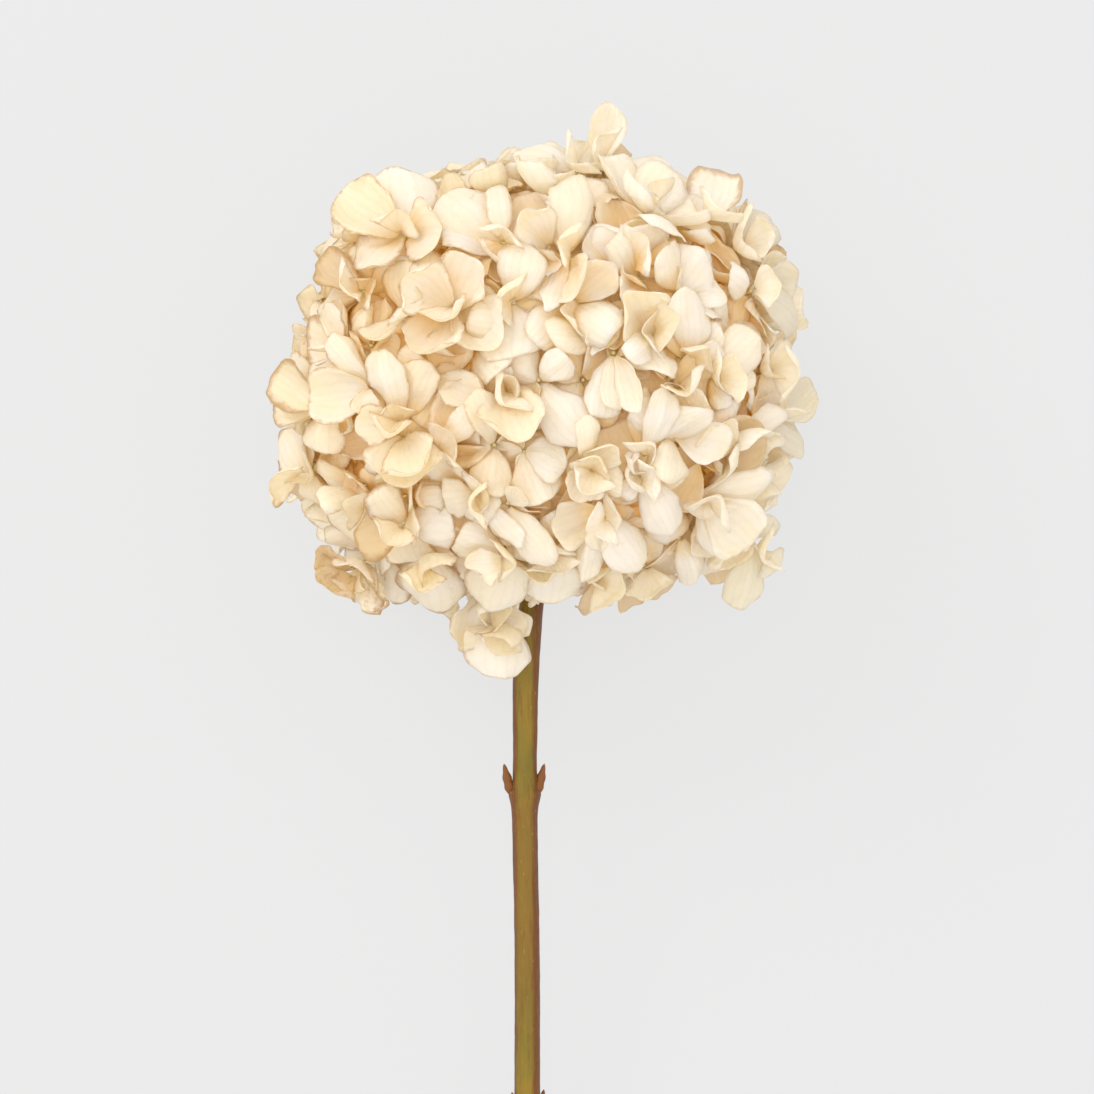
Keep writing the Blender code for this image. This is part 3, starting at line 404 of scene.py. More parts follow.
class Sepal:
    """What shapes one sepal before it settles among its neighbours."""

    def __init__(self, base, tip, normal, width, cup, look, draw):
        self.base = base
        self.length = np.linalg.norm(tip - base)
        self.along = unit(tip - base)
        self.normal = unit(normal - self.along * normal.dot(self.along))
        self.side = np.cross(self.along, self.normal)
        self.width = width
        self.cup = cup
        self.look = look
        deepness = 1.0 if cup > 0 else 0.7
        self.camber = draw.uniform(0.10, 0.24) * deepness
        self.trough = draw.uniform(0.50, 1.05) * deepness
        self.twist = draw.uniform(-0.35, 0.35)
        self.curl = draw.uniform(-0.04, 0.10)
        self.fold = draw.uniform(-0.06, 0.06)
        self.tone = draw.random()
        self.phase = draw.uniform(0, math.tau)
        self.ripple = draw.uniform(0.10, 0.38)
        self.flop = draw.uniform(-0.13, 0.13)
        self.lip = draw.uniform(0.2, 0.9)
        self.crease = math.sin(self.phase * 3) * 0.7

    def grid(self):
        u = GRID_ALONG[:, None]
        v = GRID_ACROSS[None, :]
        half = self.width / 2 * GRID_HALF_WIDTH[:, None]
        reach = (u - TIP_ROUNDING * v ** 2 * u ** 3) * self.length
        rise = -self.cup * self.camber * self.length * 4 * u * (1 - u) * (1 - 0.3 * v ** 2)
        rise = rise + self.cup * self.trough * half * v ** 2
        rise = rise + self.cup * self.curl * self.length * u ** 4
        rise = rise + self.fold * self.width * np.sin(3.6 * v + self.phase) * u
        turn = self.twist * (u - 0.3)
        across = half * v
        sideways = across * np.cos(turn) + self.flop * self.length * u ** 2
        rise = rise + across * np.sin(turn)
        return (
            self.base
            + reach[..., None] * self.along
            + sideways[..., None] * self.side
            + rise[..., None] * self.normal
        )


class Floret:
    """Sepals round one centre, with the direction that the floret faces."""

    def __init__(self, centre, facing, draw):
        self.centre = centre
        self.facing = unit(facing)
        self.draw = draw
        self.start = perpendicular(self.facing)
        self.across = np.cross(self.facing, self.start)
        self.sepals = []
        self.angles = []

    def add(self, tip, width, roll, cup, look=""):
        chord = tip - self.centre
        along = unit(chord)
        front = unit(self.facing - along * self.facing.dot(along))
        normal = turned(front, along, roll)
        level = 0.35 if len(self.sepals) % 2 else -0.35
        base = self.centre + along * 0.7 + self.facing * level
        wide = width / max(math.cos(roll), 0.5)
        self.sepals.append(Sepal(base, tip, normal, wide, cup, look, self.draw))
        self.angles.append(math.atan2(chord.dot(self.across), chord.dot(self.start)) % math.tau)

    def sideways(self, angle):
        """The direction across the floret at an angle about the way that it faces."""
        return self.start * math.cos(angle) + self.across * math.sin(angle)

    def drawn_tip(self, angle, length, pitch):
        """A sepal's tip at that angle, with its lean and its length drawn."""
        lean = math.radians(self.draw.uniform(*pitch))
        along = self.sideways(angle) * math.cos(lean) + self.facing * math.sin(lean)
        return self.centre + along * self.draw.uniform(*length)

    def fill(self, count, length, width, pitch):
        """Adds sepals in the widest gaps until the floret has so many."""
        while len(self.sepals) < count:
            order = sorted(self.angles)
            gaps = [b - a for a, b in zip(order, order[1:] + [order[0] + math.tau])]
            widest = gaps.index(max(gaps))
            tip = self.drawn_tip(order[widest] + gaps[widest] / 2, length, pitch)
            cup = self.draw.choice((1, 1, -1))
            self.add(tip, self.draw.uniform(*width), 0.0, cup)

    def crowd(self, count, length, width, pitch):
        """Adds short sepals that stand up round the centre, as in a double flower."""
        spin = self.draw.uniform(0, math.tau)
        for k in range(count):
            angle = spin + k * math.tau / count + self.draw.uniform(-0.5, 0.5)
            tip = self.drawn_tip(angle, length, pitch)
            self.add(tip, self.draw.uniform(*width), self.draw.uniform(-0.3, 0.3), 1)


def outline_reach(x, y):
    """How far the outline lies from the plant frame's axis in the direction of x, y."""
    return float(np.interp(math.atan2(y, x), OUTLINE_TURNS, OUTLINE_REACHES, period=math.tau))


OUTLINE_TURNS = [math.atan2(y, x) for x, y in OUTLINE]
OUTLINE_REACHES = [math.hypot(x, y) for x, y in OUTLINE]


def beyond_outline(point):
    """How far a point is seen outside the outline, in mm; less than 0 is inside."""
    nearer = VIEW_DISTANCE / (VIEW_DISTANCE - point[2])
    x = VIEW_MIDDLE[0] + (point[0] - VIEW_MIDDLE[0]) * nearer
    y = VIEW_MIDDLE[1] + (point[1] - VIEW_MIDDLE[1]) * nearer
    return math.hypot(x, y) - outline_reach(x, y)


def inside_outline(centre, direction, facing, length, lift):
    """A sepal's tip, laid flatter and then shortened until it is seen inside the outline."""
    for lower in range(8):
        angle = lift - math.radians(8 * lower)
        tip = centre + (direction * math.cos(angle) + facing * math.sin(angle)) * length
        if beyond_outline(tip) < 0:
            return tip
    while beyond_outline(tip) > 0 and length > 8:
        length -= 1
        tip = centre + (direction * math.cos(angle) + facing * math.sin(angle)) * length
    return tip


def upper_tip(centre, x, y, pitch):
    """A sepal's tip where the camera sees it, at a height that follows the round head."""
    flat = math.hypot(x - centre[0], y - centre[1])
    fall = head_depth(centre[0], centre[1]) - head_depth(x, y)
    steepest = math.sqrt(max(LONGEST_UPPER_SEPAL ** 2 - flat ** 2, (flat / 4) ** 2))
    rise = flat * math.tan(math.radians(pitch)) - fall * SURFACE_FOLLOWING
    return seen(x, y, centre[2] + max(-steepest, min(steepest, rise)))


def upper_florets():
    """The florets of the uppermost side, placed one by one."""
    draw = random.Random(7)
    made = []
    for (x, y, sink), *blades in UPPER_FLORETS:
        height = max(head_depth(x, y) - sink - UPPER_SINK, LOWEST_UPPER_CENTRE)
        centre = seen(x, y, height)
        facing = np.array((0, 0, 1.0)) + outward(centre) * UPPER_OUTWARD
        floret = Floret(centre, facing, draw)
        for tip_x, tip_y, width, pitch, roll, cup, *look in blades:
            lift = HOLLOW_LIFT if cup > 0 else DOMED_LIFT
            tip = upper_tip(centre, tip_x, tip_y, pitch + lift)
            roll += draw.uniform(-ROLL_SPREAD, ROLL_SPREAD)
            floret.add(tip, width * UPPER_WIDENING, math.radians(roll), cup, "".join(look))
        floret.fill(UPPER_SEPALS, *UPPER_FILL)
        floret.crowd(draw.choice(UPPER_CROWD_COUNTS), *UPPER_CROWD)
        made.append(floret)
    return made


def spiral_florets(layer, before):
    """Florets of one layer on a spiral over the ball, clear of the stem and those before."""
    draw = random.Random(layer["seed"])
    golden_angle = math.pi * (3 - math.sqrt(5))
    to_table = np.array(Vector((0, 0, 1)).rotation_difference(Vector(DOWN)).to_matrix())
    taken = np.array([floret.centre for floret in before])
    made = []
    for i in range(layer["count"]):
        level = 1 - 2 * (i + 0.5) / layer["count"]
        flat = math.sqrt(1 - level * level)
        turn = golden_angle * i
        direction = to_table @ np.array((flat * math.cos(turn), flat * math.sin(turn), level))
        centre = direction * (head_reach(direction) - draw.uniform(*layer["sink"]))
        beyond = beyond_outline(centre) + RIM_ROOM
        if beyond > 0:
            centre[:2] *= 1 - beyond / math.hypot(centre[0], centre[1])
        lean = np.array([draw.uniform(-FACING_SPREAD, FACING_SPREAD) for _ in range(3)])
        floret = Floret(centre, outward(centre) + lean, draw)
        spin = draw.uniform(0, math.tau)
        count = draw.choice(LAYER_SEPALS)
        ranges = [layer[key] for key in ("open", "length", "width")]
        picks = [[draw.uniform(*span) for span in ranges] for _ in range(count)]
        room = layer["clear"]
        if room and (centre[2] > OUTER_UPPER_LIMIT or near(centre, taken, room)):
            continue
        if math.hypot(centre[0], centre[2]) < STEM_GAP and centre[1] < 0:
            continue
        for k, (open_angle, length, width) in enumerate(picks):
            around = floret.sideways(spin + k * math.tau / count)
            lift = math.radians(open_angle)
            tip = inside_outline(centre, around, floret.facing, length, lift)
            floret.add(tip, width, 0.0, 1 if k % 3 else -1)
        floret.crowd(layer["inner"], *LAYER_CROWD)
        made.append(floret)
    return made


def near(point, taken, distance):
    return np.min(np.linalg.norm(taken - point, axis=1)) < distance


def clear_of_stem(points):
    """Moves points of the grids out from the stem's axis where they come too near it."""
    away = points[..., (0, 2)].copy()
    away[..., 0] -= stem_middle(points[..., 1])[0]
    distance = np.linalg.norm(away, axis=-1)
    low = points[..., 1] < STEM_ZONE_TOP
    push = np.where(low, np.maximum(STEM_CLEARANCE - distance, 0.0), 0.0)
    scale = push / np.maximum(distance, 0.1)
    points[..., 0] += away[..., 0] * scale
    points[..., 2] += away[..., 1] * scale
    return points


def pressed(points):
    """Bends up smoothly what would go below the table, in the plant frame."""
    world = points @ TURN.T
    world[..., 2] += HEAD_HEIGHT
    height = world[..., 2]
    reach = PRESS_START - 2 * PRESS_LOWEST
    steepness = 4 * (PRESS_START - PRESS_LOWEST)
    bent = PRESS_LOWEST + (np.maximum(height, -reach) + reach) ** 2 / steepness
    world[..., 2] = np.where(height < PRESS_START, bent, height)
    world[..., 2] -= HEAD_HEIGHT
    return world @ TURN


def grid_normals(grids):
    """Unit normals of each control grid, turned to face away from the head's middle."""
    normals = surface_normals(grids)
    way = np.sum(normals * grids, axis=-1, keepdims=True)
    return normals * np.where(way < 0, -1.0, 1.0)


def close_pairs(points, reach):
    """Index pairs of the points that share or neighbour a cell of the given size."""
    cells = np.floor(points / reach).astype(np.int64)
    cells -= cells.min(axis=0) - 1
    spans = cells.max(axis=0) + 2
    keys = (cells[:, 0] * spans[1] + cells[:, 1]) * spans[2] + cells[:, 2]
    order = np.argsort(keys, kind="stable")
    ranked = keys[order]
    pairs = []
    for dx, dy, dz in product((-1, 0, 1), repeat=3):
        shift = (dx * spans[1] + dy) * spans[2] + dz
        low = np.searchsorted(ranked, ranked + shift, "left")
        counts = np.searchsorted(ranked, ranked + shift, "right") - low
        first = np.repeat(np.arange(len(ranked)), counts)
        starts = np.repeat(low - np.concatenate(([0], np.cumsum(counts)[:-1])), counts)
        second = starts + np.arange(len(first))
        keep = first < second
        pairs.append(order[np.stack((first[keep], second[keep]))])
    return np.concatenate(pairs, axis=1)


def settle(grids):
    """Pushes crossing sepals apart, each pair in the order that it mostly lies in."""
    count, rows, columns, _ = grids.shape
    start = grids.copy()
    sepal = np.repeat(np.arange(count), rows * columns)
    loose = np.clip((GRID_ALONG - 0.08) / 0.4, 0, 1)
    loose = np.tile(np.repeat(loose, columns), count)
    power = head_power(grids.reshape(-1, 3))
    loose = loose * np.clip((LAST_SETTLED - power ** (1 / HEAD_SQUARENESS)) / 0.1, 0, 1)
    for _ in range(SETTLE_ROUNDS):
        points = grids.reshape(-1, 3)
        normals = grid_normals(grids).reshape(-1, 3)
        ways = points / np.linalg.norm(points, axis=1, keepdims=True)
        a, b = close_pairs(ways * MIDDLE_REACH, SETTLE_REACH)
        apart = np.abs(np.linalg.norm(points[a], axis=1) - np.linalg.norm(points[b], axis=1))
        spread = np.linalg.norm((ways[a] - ways[b]) * MIDDLE_REACH, axis=1)
        keep = (sepal[a] != sepal[b]) & (spread < SETTLE_REACH) & (apart < SETTLE_DEPTH)
        keep &= (loose[a] + loose[b]) > 0
        a, b = a[keep], b[keep]
        step = points[a] - points[b]
        above = (np.sum(step * normals[b], axis=1) + np.sum(step * normals[a], axis=1)) / 2
        low = np.minimum(sepal[a], sepal[b])
        high = np.maximum(sepal[a], sepal[b])
        sign = np.where(sepal[a] == low, 1.0, -1.0)
        pair, where = np.unique(low * count + high, return_inverse=True)
        order = np.sign(np.bincount(where, weights=above * sign, minlength=len(pair)))
        order[order == 0] = 1
        way = order[where] * sign
        short = np.clip(SETTLE_GAP - above * way, 0, LARGEST_PUSH)
        share = loose[a] + loose[b]
        move = (ways[a] + ways[b]) / 2 * (short * way)[:, None]
        total = np.zeros_like(points)
        weight = np.zeros(len(points))
        for ends, part, side in ((a, loose[a] / share, 1.0), (b, loose[b] / share, -1.0)):
            for axis in range(3):
                total[:, axis] += np.bincount(ends, move[:, axis] * part * side, len(points))
            weight += np.bincount(ends, short > 0, len(points))
        shift = (total / np.maximum(weight, 1)[:, None]).reshape(grids.shape)
        for _ in range(SHIFT_SMOOTHING):
            shift = smoothed(shift)
        moved = grids + shift * PUSH_SHARE
        drift = moved - start
        size = np.linalg.norm(drift, axis=-1, keepdims=True)
        moved = start + drift * np.minimum(1, SETTLE_LIMIT / np.maximum(size, 1e-6))
        grids = clear_of_stem(pressed(moved))
    return grids


def covering(grids):
    """How far below the highest sheet over it each control point lies, in mm.

    Sheets that stand out of the head count as if they lay on its surface.
    """
    points = grids.reshape(-1, 3)
    power = head_power(points)
    reaches = np.linalg.norm(points, axis=1)
    ways = points / reaches[:, None] * MIDDLE_REACH
    reaches = np.minimum(reaches, reaches * power ** (-1 / HEAD_SQUARENESS))
    a, b = close_pairs(ways, COVER_REACH)
    nearness = 1 - np.linalg.norm(ways[a] - ways[b], axis=1) / COVER_REACH
    over = (reaches[b] - reaches[a]) * np.clip(nearness * 1.6, 0, 1)
    cover = np.zeros(len(points))
    np.maximum.at(cover, a, over)
    np.maximum.at(cover, b, -over)
    cover = cover.reshape(*grids.shape[:3], 1)
    return smoothed(smoothed(cover))[..., 0]


def smoothed(shift):
    """Each grid value drawn half way to the mean of its neighbours in its own sepal."""
    padded = np.pad(shift, ((0, 0), (1, 1), (1, 1), (0, 0)), mode="edge")
    total = padded[:, :-2, 1:-1] + padded[:, 2:, 1:-1] + padded[:, 1:-1, :-2] + padded[:, 1:-1, 2:]
    return shift * 0.5 + total * 0.125


def spline_matrix(controls, fine):
    """Weights of a cubic spline through evenly numbered control points, ends kept."""
    matrix = np.zeros((fine, controls))
    for row, t in enumerate(np.linspace(0, controls - 1, fine)):
        i = min(int(t), controls - 2)
        x = t - i
        weights = (
            (1 - x) ** 3 / 6,
            (3 * x ** 3 - 6 * x ** 2 + 4) / 6,
            (-3 * x ** 3 + 3 * x ** 2 + 3 * x + 1) / 6,
            x ** 3 / 6,
        )
        for k, weight in zip(range(i - 1, i + 3), weights):
            if k < 0:
                matrix[row, 0] += 2 * weight
                matrix[row, 1] -= weight
            elif k >= controls:
                matrix[row, controls - 1] += 2 * weight
                matrix[row, controls - 2] -= weight
            else:
                matrix[row, k] += weight
    return matrix


def drift(points, amount, scale, seed):
    """A smooth, slow displacement of space, so that neighbours move alike."""
    draw = np.random.default_rng(seed)
    moved = np.zeros_like(points)
    for _ in range(5):
        wave = draw.normal(size=3) * (math.tau / scale) / 1.7
        push = draw.normal(size=3)
        moved += np.sin(points @ wave + draw.uniform(0, math.tau))[..., None] * push
    return points + moved * (amount / 2.2)


def blade_surfaces(grids, sepals, along, across, u, v):
    """Fine mid-surfaces of the sepals, with their rippled rims."""

    def of_each(values):
        return np.array(values)[:, None, None]

    fine = np.einsum("ri,nijk,cj->nrck", along, grids, across)
    for amount, scale, seed in DRIFTS:
        fine = drift(fine, amount, scale, seed)
    ripple = of_each([s.ripple * (FRILL if "f" in s.look else 1.0) for s in sepals])
    phase = of_each([s.phase for s in sepals])
    rate = of_each([7 + 5 * s.tone for s in sepals])
    side = np.sign(v) * 1.3
    wave = np.sin(u * rate + phase + side) * np.abs(v) ** 2.2 * np.clip(u * 2, 0, 1)
    wave = wave + 0.7 * np.sin(v * rate * 0.45 + phase * 1.7) * u ** 4
    wave = wave + 0.35 * np.sin(u * rate * 2.3 + phase * 2.9 + side) * np.abs(v) ** 3
    wave = wave + 0.5 * np.sin(v * 7 + phase) * u * (1 - 0.5 * u)
    lip = of_each([s.lip * s.cup for s in sepals])
    flare = lip * np.abs(v) ** 6 * np.clip(u * 2, 0, 1) * (1 - u ** 4)
    crease = of_each([s.crease for s in sepals])
    wave = wave * ripple + crease * np.exp(-(v * 4.5) ** 2) * np.sin(np.clip(u, 0, 1) * math.pi)
    normals = surface_normals(fine)
    front = of_each([s.normal for s in sepals])
    facing = np.sign(np.sum(normals * front, axis=-1))
    return fine + normals * (wave - flare * facing)[..., None]


def surface_normals(fine):
    normals = np.cross(np.gradient(fine, axis=1), np.gradient(fine, axis=2))
    return normals / np.maximum(np.linalg.norm(normals, axis=-1, keepdims=True), 1e-9)


def placed(name, data):
    """A new object in the scene."""
    thing = bpy.data.objects.new(name, data)
    bpy.context.scene.collection.objects.link(thing)
    return thing


def new_mesh(name, points, faces, values, paint, smooth_angle):
    """A mesh object from arrays in the plant frame, with named values at its points."""
    laid = points @ TURN.T + (0.0, 0.0, HEAD_HEIGHT)
    laid[:, 2] = np.maximum(laid[:, 2], 0.0)
    mesh = bpy.data.meshes.new(name)
    mesh.vertices.add(len(laid))
    mesh.vertices.foreach_set("co", (laid * MM).astype(np.float32).ravel())
    corners = np.concatenate([face.ravel() for face in faces])
    sizes = np.concatenate([np.full(len(face), face.shape[1]) for face in faces])
    mesh.loops.add(len(corners))
    mesh.loops.foreach_set("vertex_index", corners.astype(np.int32))
    mesh.polygons.add(len(sizes))
    starts = np.concatenate(([0], np.cumsum(sizes)[:-1]))
    mesh.polygons.foreach_set("loop_start", starts.astype(np.int32))
    mesh.update(calc_edges=True)
    for key, value in {"plant": points / 10, **values}.items():
        kind, field = ("FLOAT_VECTOR", "vector") if value.ndim == 2 else ("FLOAT", "value")
        made = mesh.attributes.new(key, kind, "POINT")
        made.data.foreach_set(field, value.astype(np.float32).ravel())
    mesh.shade_smooth()
    mesh.set_sharp_from_angle(angle=math.radians(smooth_angle))
    mesh.materials.append(paint)
    return placed(name, mesh)


def grid_faces(rows, columns):
    """Quads of a closed sheet: its front, its back and the rim between them."""
    behind = rows * columns
    index = np.arange(behind).reshape(rows, columns)
    a, b = index[:-1, :-1].ravel(), index[1:, :-1].ravel()
    c, d = index[1:, 1:].ravel(), index[:-1, 1:].ravel()
    front = np.stack((a, b, c, d), axis=1)
    back = np.stack((a, d, c, b), axis=1) + behind
    loop = np.concatenate((index[:-1, 0], index[-1, :-1], index[:0:-1, -1], index[0, :0:-1]))
    after = np.roll(loop, -1)
    rim = np.stack((after, loop, loop + behind, after + behind), axis=1)
    return np.concatenate((front, back, rim))


def sepal_piece(name, grids, cover, sepals, rows, columns, paint):
    """One piece of many closed papery sheets."""
    along = spline_matrix(len(GRID_ALONG), rows)
    across = spline_matrix(len(GRID_ACROSS), columns)
    u = (along @ GRID_ALONG)[None, :, None]
    v = (across @ GRID_ACROSS)[None, None, :]
    fine = blade_surfaces(grids, sepals, along, across, u, v)
    cover = np.einsum("ri,nij,cj->nrc", along, cover, across)
    normals = surface_normals(fine)
    world = fine @ TURN.T
    world[..., 2] = np.maximum(world[..., 2], LOWEST_SHEET - HEAD_HEIGHT)
    fine = world @ TURN
    thick = SHEET / 2 * (1.0 - 0.55 * np.maximum(np.abs(v), u) ** 4)[..., None]
    sheets = np.stack((fine + normals * thick, fine - normals * thick), axis=1)
    shape = (len(sepals), 2, rows, columns)
    firsts = np.arange(len(sepals)) * 2 * rows * columns
    faces = (grid_faces(rows, columns)[None] + firsts[:, None, None]).reshape(-1, 4)

    def per_sepal(values):
        return np.broadcast_to(np.array(values)[:, None, None, None], shape).ravel()

    # How deep each point lies in the head and how far under other sheets; the sepals' paint turns
    # both into painted golden shade.
    depth = np.linalg.norm(sheets, axis=-1) * (head_reach(sheets) - 1)
    values = {
        "depth": depth.ravel(),
        "cover": np.broadcast_to(cover[:, None], shape).ravel(),
        "along": np.broadcast_to(u[:, None], shape).ravel(),
        "across": np.broadcast_to(v[:, None], shape).ravel(),
        "tone": per_sepal([s.tone for s in sepals]),
        "phase": per_sepal([s.phase for s in sepals]),
    }
    for letter, key in LOOKS.items():
        values[key] = per_sepal([1.0 if letter in s.look else 0.0 for s in sepals])
    return new_mesh(name, sheets.reshape(-1, 3), [faces], values, paint, SHEET_SHARP_ANGLE)


LOOKS = {"b": "bleached", "t": "tan", "d": "dry", "c": "crumpled", "g": "grey"}


class Skin:
    """Gathers closed tubes into one mesh."""

    def __init__(self):
        self.points = []
        self.faces = []
        self.values = []
        self.total = 0

    def rings(self, rings, ends, values):
        """A closed tube through rings of points, with a middle point for each end."""
        count, sides, _ = rings.shape
        index = self.total + np.arange(count * sides).reshape(count, sides)
        beside = np.roll(index, -1, axis=1)
        quads = (index[:-1], beside[:-1], beside[1:], index[1:])
        first = self.total + count * sides
        self.points += [rings.reshape(-1, 3), ends]
        self.faces.append(np.stack([q.ravel() for q in quads], axis=1))
        self.faces.append(np.stack((np.full(sides, first), beside[0], index[0]), axis=1))
        self.faces.append(np.stack((np.full(sides, first + 1), index[-1], beside[-1]), axis=1))
        self.values.append(np.concatenate((np.repeat(values, sides), values[[0, -1]])))
        self.total += count * sides + 2

    def tube(self, path, radii, sides, value):
        """A tube along a path; radii for each ring, or for each point of each ring."""
        path = np.asarray(path, dtype=float)
        radii = np.asarray(radii, dtype=float)
        if radii.ndim == 1:
            radii = np.repeat(radii[:, None], sides, axis=1)
        tangents = np.gradient(path, axis=0)
        tangents /= np.linalg.norm(tangents, axis=1, keepdims=True)
        start = perpendicular(tangents[0])
        angles = np.arange(sides) * math.tau / sides
        rings = []
        for point, tangent, radius in zip(path, tangents, radii):
            start = unit(start - tangent * start.dot(tangent))
            other = np.cross(tangent, start)
            ring = np.cos(angles)[:, None] * start + np.sin(angles)[:, None] * other
            rings.append(point + ring * radius[:, None])
        ends = np.stack((
            path[0] - tangents[0] * radii[0].mean() * 0.3,
            path[-1] + tangents[-1] * radii[-1].mean() * 0.3,
        ))
        self.rings(np.stack(rings), ends, np.full(len(path), value))

    def piece(self, name, paint):
        quads = np.concatenate([face for face in self.faces if face.shape[1] == 4])
        fans = np.concatenate([face for face in self.faces if face.shape[1] == 3])
        named = {"tone": np.concatenate(self.values)}
        points = np.concatenate(self.points)
        return new_mesh(name, points, [quads, fans], named, paint, TUBE_SHARP_ANGLE)


def bent_path(corners, rings):
    """A smooth path through a few corners."""
    corners = np.asarray(corners, dtype=float)
    return spline_matrix(len(corners), rings) @ corners


class Graph:
    """A material's nodes, with short ways to add and join them."""

    def __init__(self, name):
        self.material = bpy.data.materials.new(name)
        self.material.use_nodes = True
        self.tree = self.material.node_tree
        self.tree.nodes.clear()

    def add(self, kind, settings, inputs, output=0):
        made = self.tree.nodes.new("ShaderNode" + kind)
        for key, value in settings.items():
            setattr(made, key, value)
        for key, value in inputs.items():
            if isinstance(value, bpy.types.NodeSocket):
                self.tree.links.new(value, made.inputs[key])
            else:
                made.inputs[key].default_value = value
        return made.outputs[output]

    def field(self, name, vector=False):
        return self.add("Attribute", {"attribute_name": name}, {}, "Vector" if vector else "Fac")

    def maths(self, operation, a, b=0.0):
        return self.add("Math", {"operation": operation}, {0: a, 1: b})

    def times(self, a, b):
        return self.maths("MULTIPLY", a, b)

    def plus(self, a, b):
        return self.maths("ADD", a, b)

    def rest(self, value):
        """What a share lacks of 1."""
        return self.maths("SUBTRACT", 1.0, value)

    def scaled(self, vector, factors):
        return self.add("VectorMath", {"operation": "MULTIPLY"}, {0: vector, 1: factors})

    def mix(self, share, a, b):
        settings = {"data_type": "RGBA", "clamp_factor": True}
        return self.add("Mix", settings, {0: share, 6: a, 7: b}, 2)

    def layered(self, colour, layers):
        """Lays colours over the first one, each by a share times a strength."""
        for share, strength, other in layers:
            colour = self.mix(self.times(share, strength), colour, other)
        return colour

    def noise(self, vector, scale, detail=3.0, roughness=0.55):
        inputs = {"Vector": vector, "Scale": scale, "Detail": detail, "Roughness": roughness}
        return self.add("TexNoise", {}, inputs, "Fac")

    def between(self, value, low, high):
        """0 below low, 1 above high, smooth between them."""
        settings = {"interpolation_type": "SMOOTHSTEP"}
        inputs = {"Value": value, "From Min": low, "From Max": high}
        return self.add("MapRange", settings, inputs)

    def bump(self, height, strength, distance):
        inputs = {"Height": height, "Strength": strength, "Distance": distance}
        return self.add("Bump", {}, inputs)

    def surface(self, colour, roughness, specular, more):
        inputs = {"Base Color": colour, "Roughness": roughness, "Specular IOR Level": specular}
        return self.add("BsdfPrincipled", {}, {**inputs, **more})

    def end(self, shader):
        output = self.tree.nodes.new("ShaderNodeOutputMaterial")
        self.tree.links.new(shader, output.inputs["Surface"])
        return self.material


def sepal_paint():
    """Papery cream sepals: mottled, veined, with dry brown rims and bleached ones, and painted
    golden shade where they lie deep in the head or under other sheets.
    """
    g = Graph("dried_sepal")
    along = g.field("along")
    across = g.field("across")
    place = g.field("plant", vector=True)
    blotch = g.noise(place, 1.1, 1.0)
    spots = g.noise(place, 5.5, 3.0, 0.62)
    grain = g.noise(place, 45.0, 0.0)
    rim = g.maths("MAXIMUM", g.maths("ABSOLUTE", across), g.maths("POWER", along, 3.0))
    x = g.add("SeparateXYZ", {}, {"Vector": place}, "X")
    left = g.rest(g.between(x, -4.0, 1.5))
    # Painted golden shade: sepals deep in the head or under other sheets turn gold, more so towards
    # their bases.
    deep = g.between(g.field("depth"), 6.0, 18.0)
    covered_shade = g.between(g.field("cover"), 0.8, 6.5)
    shade_strength = g.maths("SUBTRACT", 0.92, g.times(along, 0.34))
    claw = g.rest(g.between(along, 0.02, 0.30))
    gilt = g.between(g.plus(rim, g.times(spots, 0.35)), 1.04, 1.22)
    dryness = g.plus(g.times(g.field("dry"), 0.28), g.times(spots, 0.35))
    burnt = g.times(g.field("crumpled"), g.between(spots, 0.50, 0.72))
    fan = g.plus(g.times(across, 10.0), g.times(spots, 3.0))
    vein = g.rest(g.maths("POWER", g.maths("ABSOLUTE", g.maths("SINE", fan)), 0.35))
    colour = g.layered(g.mix(g.between(blotch, 0.35, 0.68), PALE, MELLOW), (
        (g.between(g.field("tone"), 0.5, 1.0), 0.6, WARM),
        (g.between(spots, 0.60, 0.78), 0.35, TAWNY),
        (left, 0.24, TAWNY),
        # painted golden shade in the head's depths and under covering sheets
        (g.maths("MAXIMUM", deep, covered_shade), shade_strength, SHADE_GOLD),
        (g.field("bleached"), 0.75, PALE),
        (g.field("tan"), 0.7, TAN),
        # painted shade on the greyish sepals of the head's shaded right side
        (g.field("grey"), 0.8, SHADE_GREY),
        (claw, 0.4, CLAW),
        (gilt, g.plus(0.22, g.times(left, 0.60)), GILT),
        (g.between(g.plus(rim, dryness), 1.16, 1.40), 0.7, BROWN),
        (burnt, 0.7, BROWN),
        (vein, 0.14, VEIN),
    ))
    height = g.plus(g.times(spots, 1.3), g.times(grain, 0.25))
    normal = g.bump(g.plus(height, g.times(vein, 0.45)), 0.45, 0.0006)
    paper = g.surface(colour, 0.62, 0.28, {"Normal": normal})
    through = g.mix(0.8, colour, GLOW)
    glow = g.add("BsdfTranslucent", {}, {"Color": through, "Normal": normal})
    return g.end(g.add("MixShader", {}, {0: TRANSLUCENT_SHARE, 1: paper, 2: glow}))


def stalk_paint():
    """Pedicels and rays: yellow-green, browner at the knot and on the pedicels of the head's lower
    half, a little on the rays.
    """
    g = Graph("flower_stalk")
    place = g.field("plant", vector=True)
    patches = g.between(g.noise(place, 3.0, 4.0), 0.35, 0.7)
    colour = g.mix(patches, STALK_GREEN, STALK_TAN)
    colour = g.mix(g.field("tone"), colour, STALK_BROWN)
    normal = g.bump(g.noise(g.scaled(place, (1.0, 0.3, 1.0)), 40.0), 0.4, 0.0004)
    return g.end(g.surface(colour, 0.6, 0.3, {"Normal": normal}))


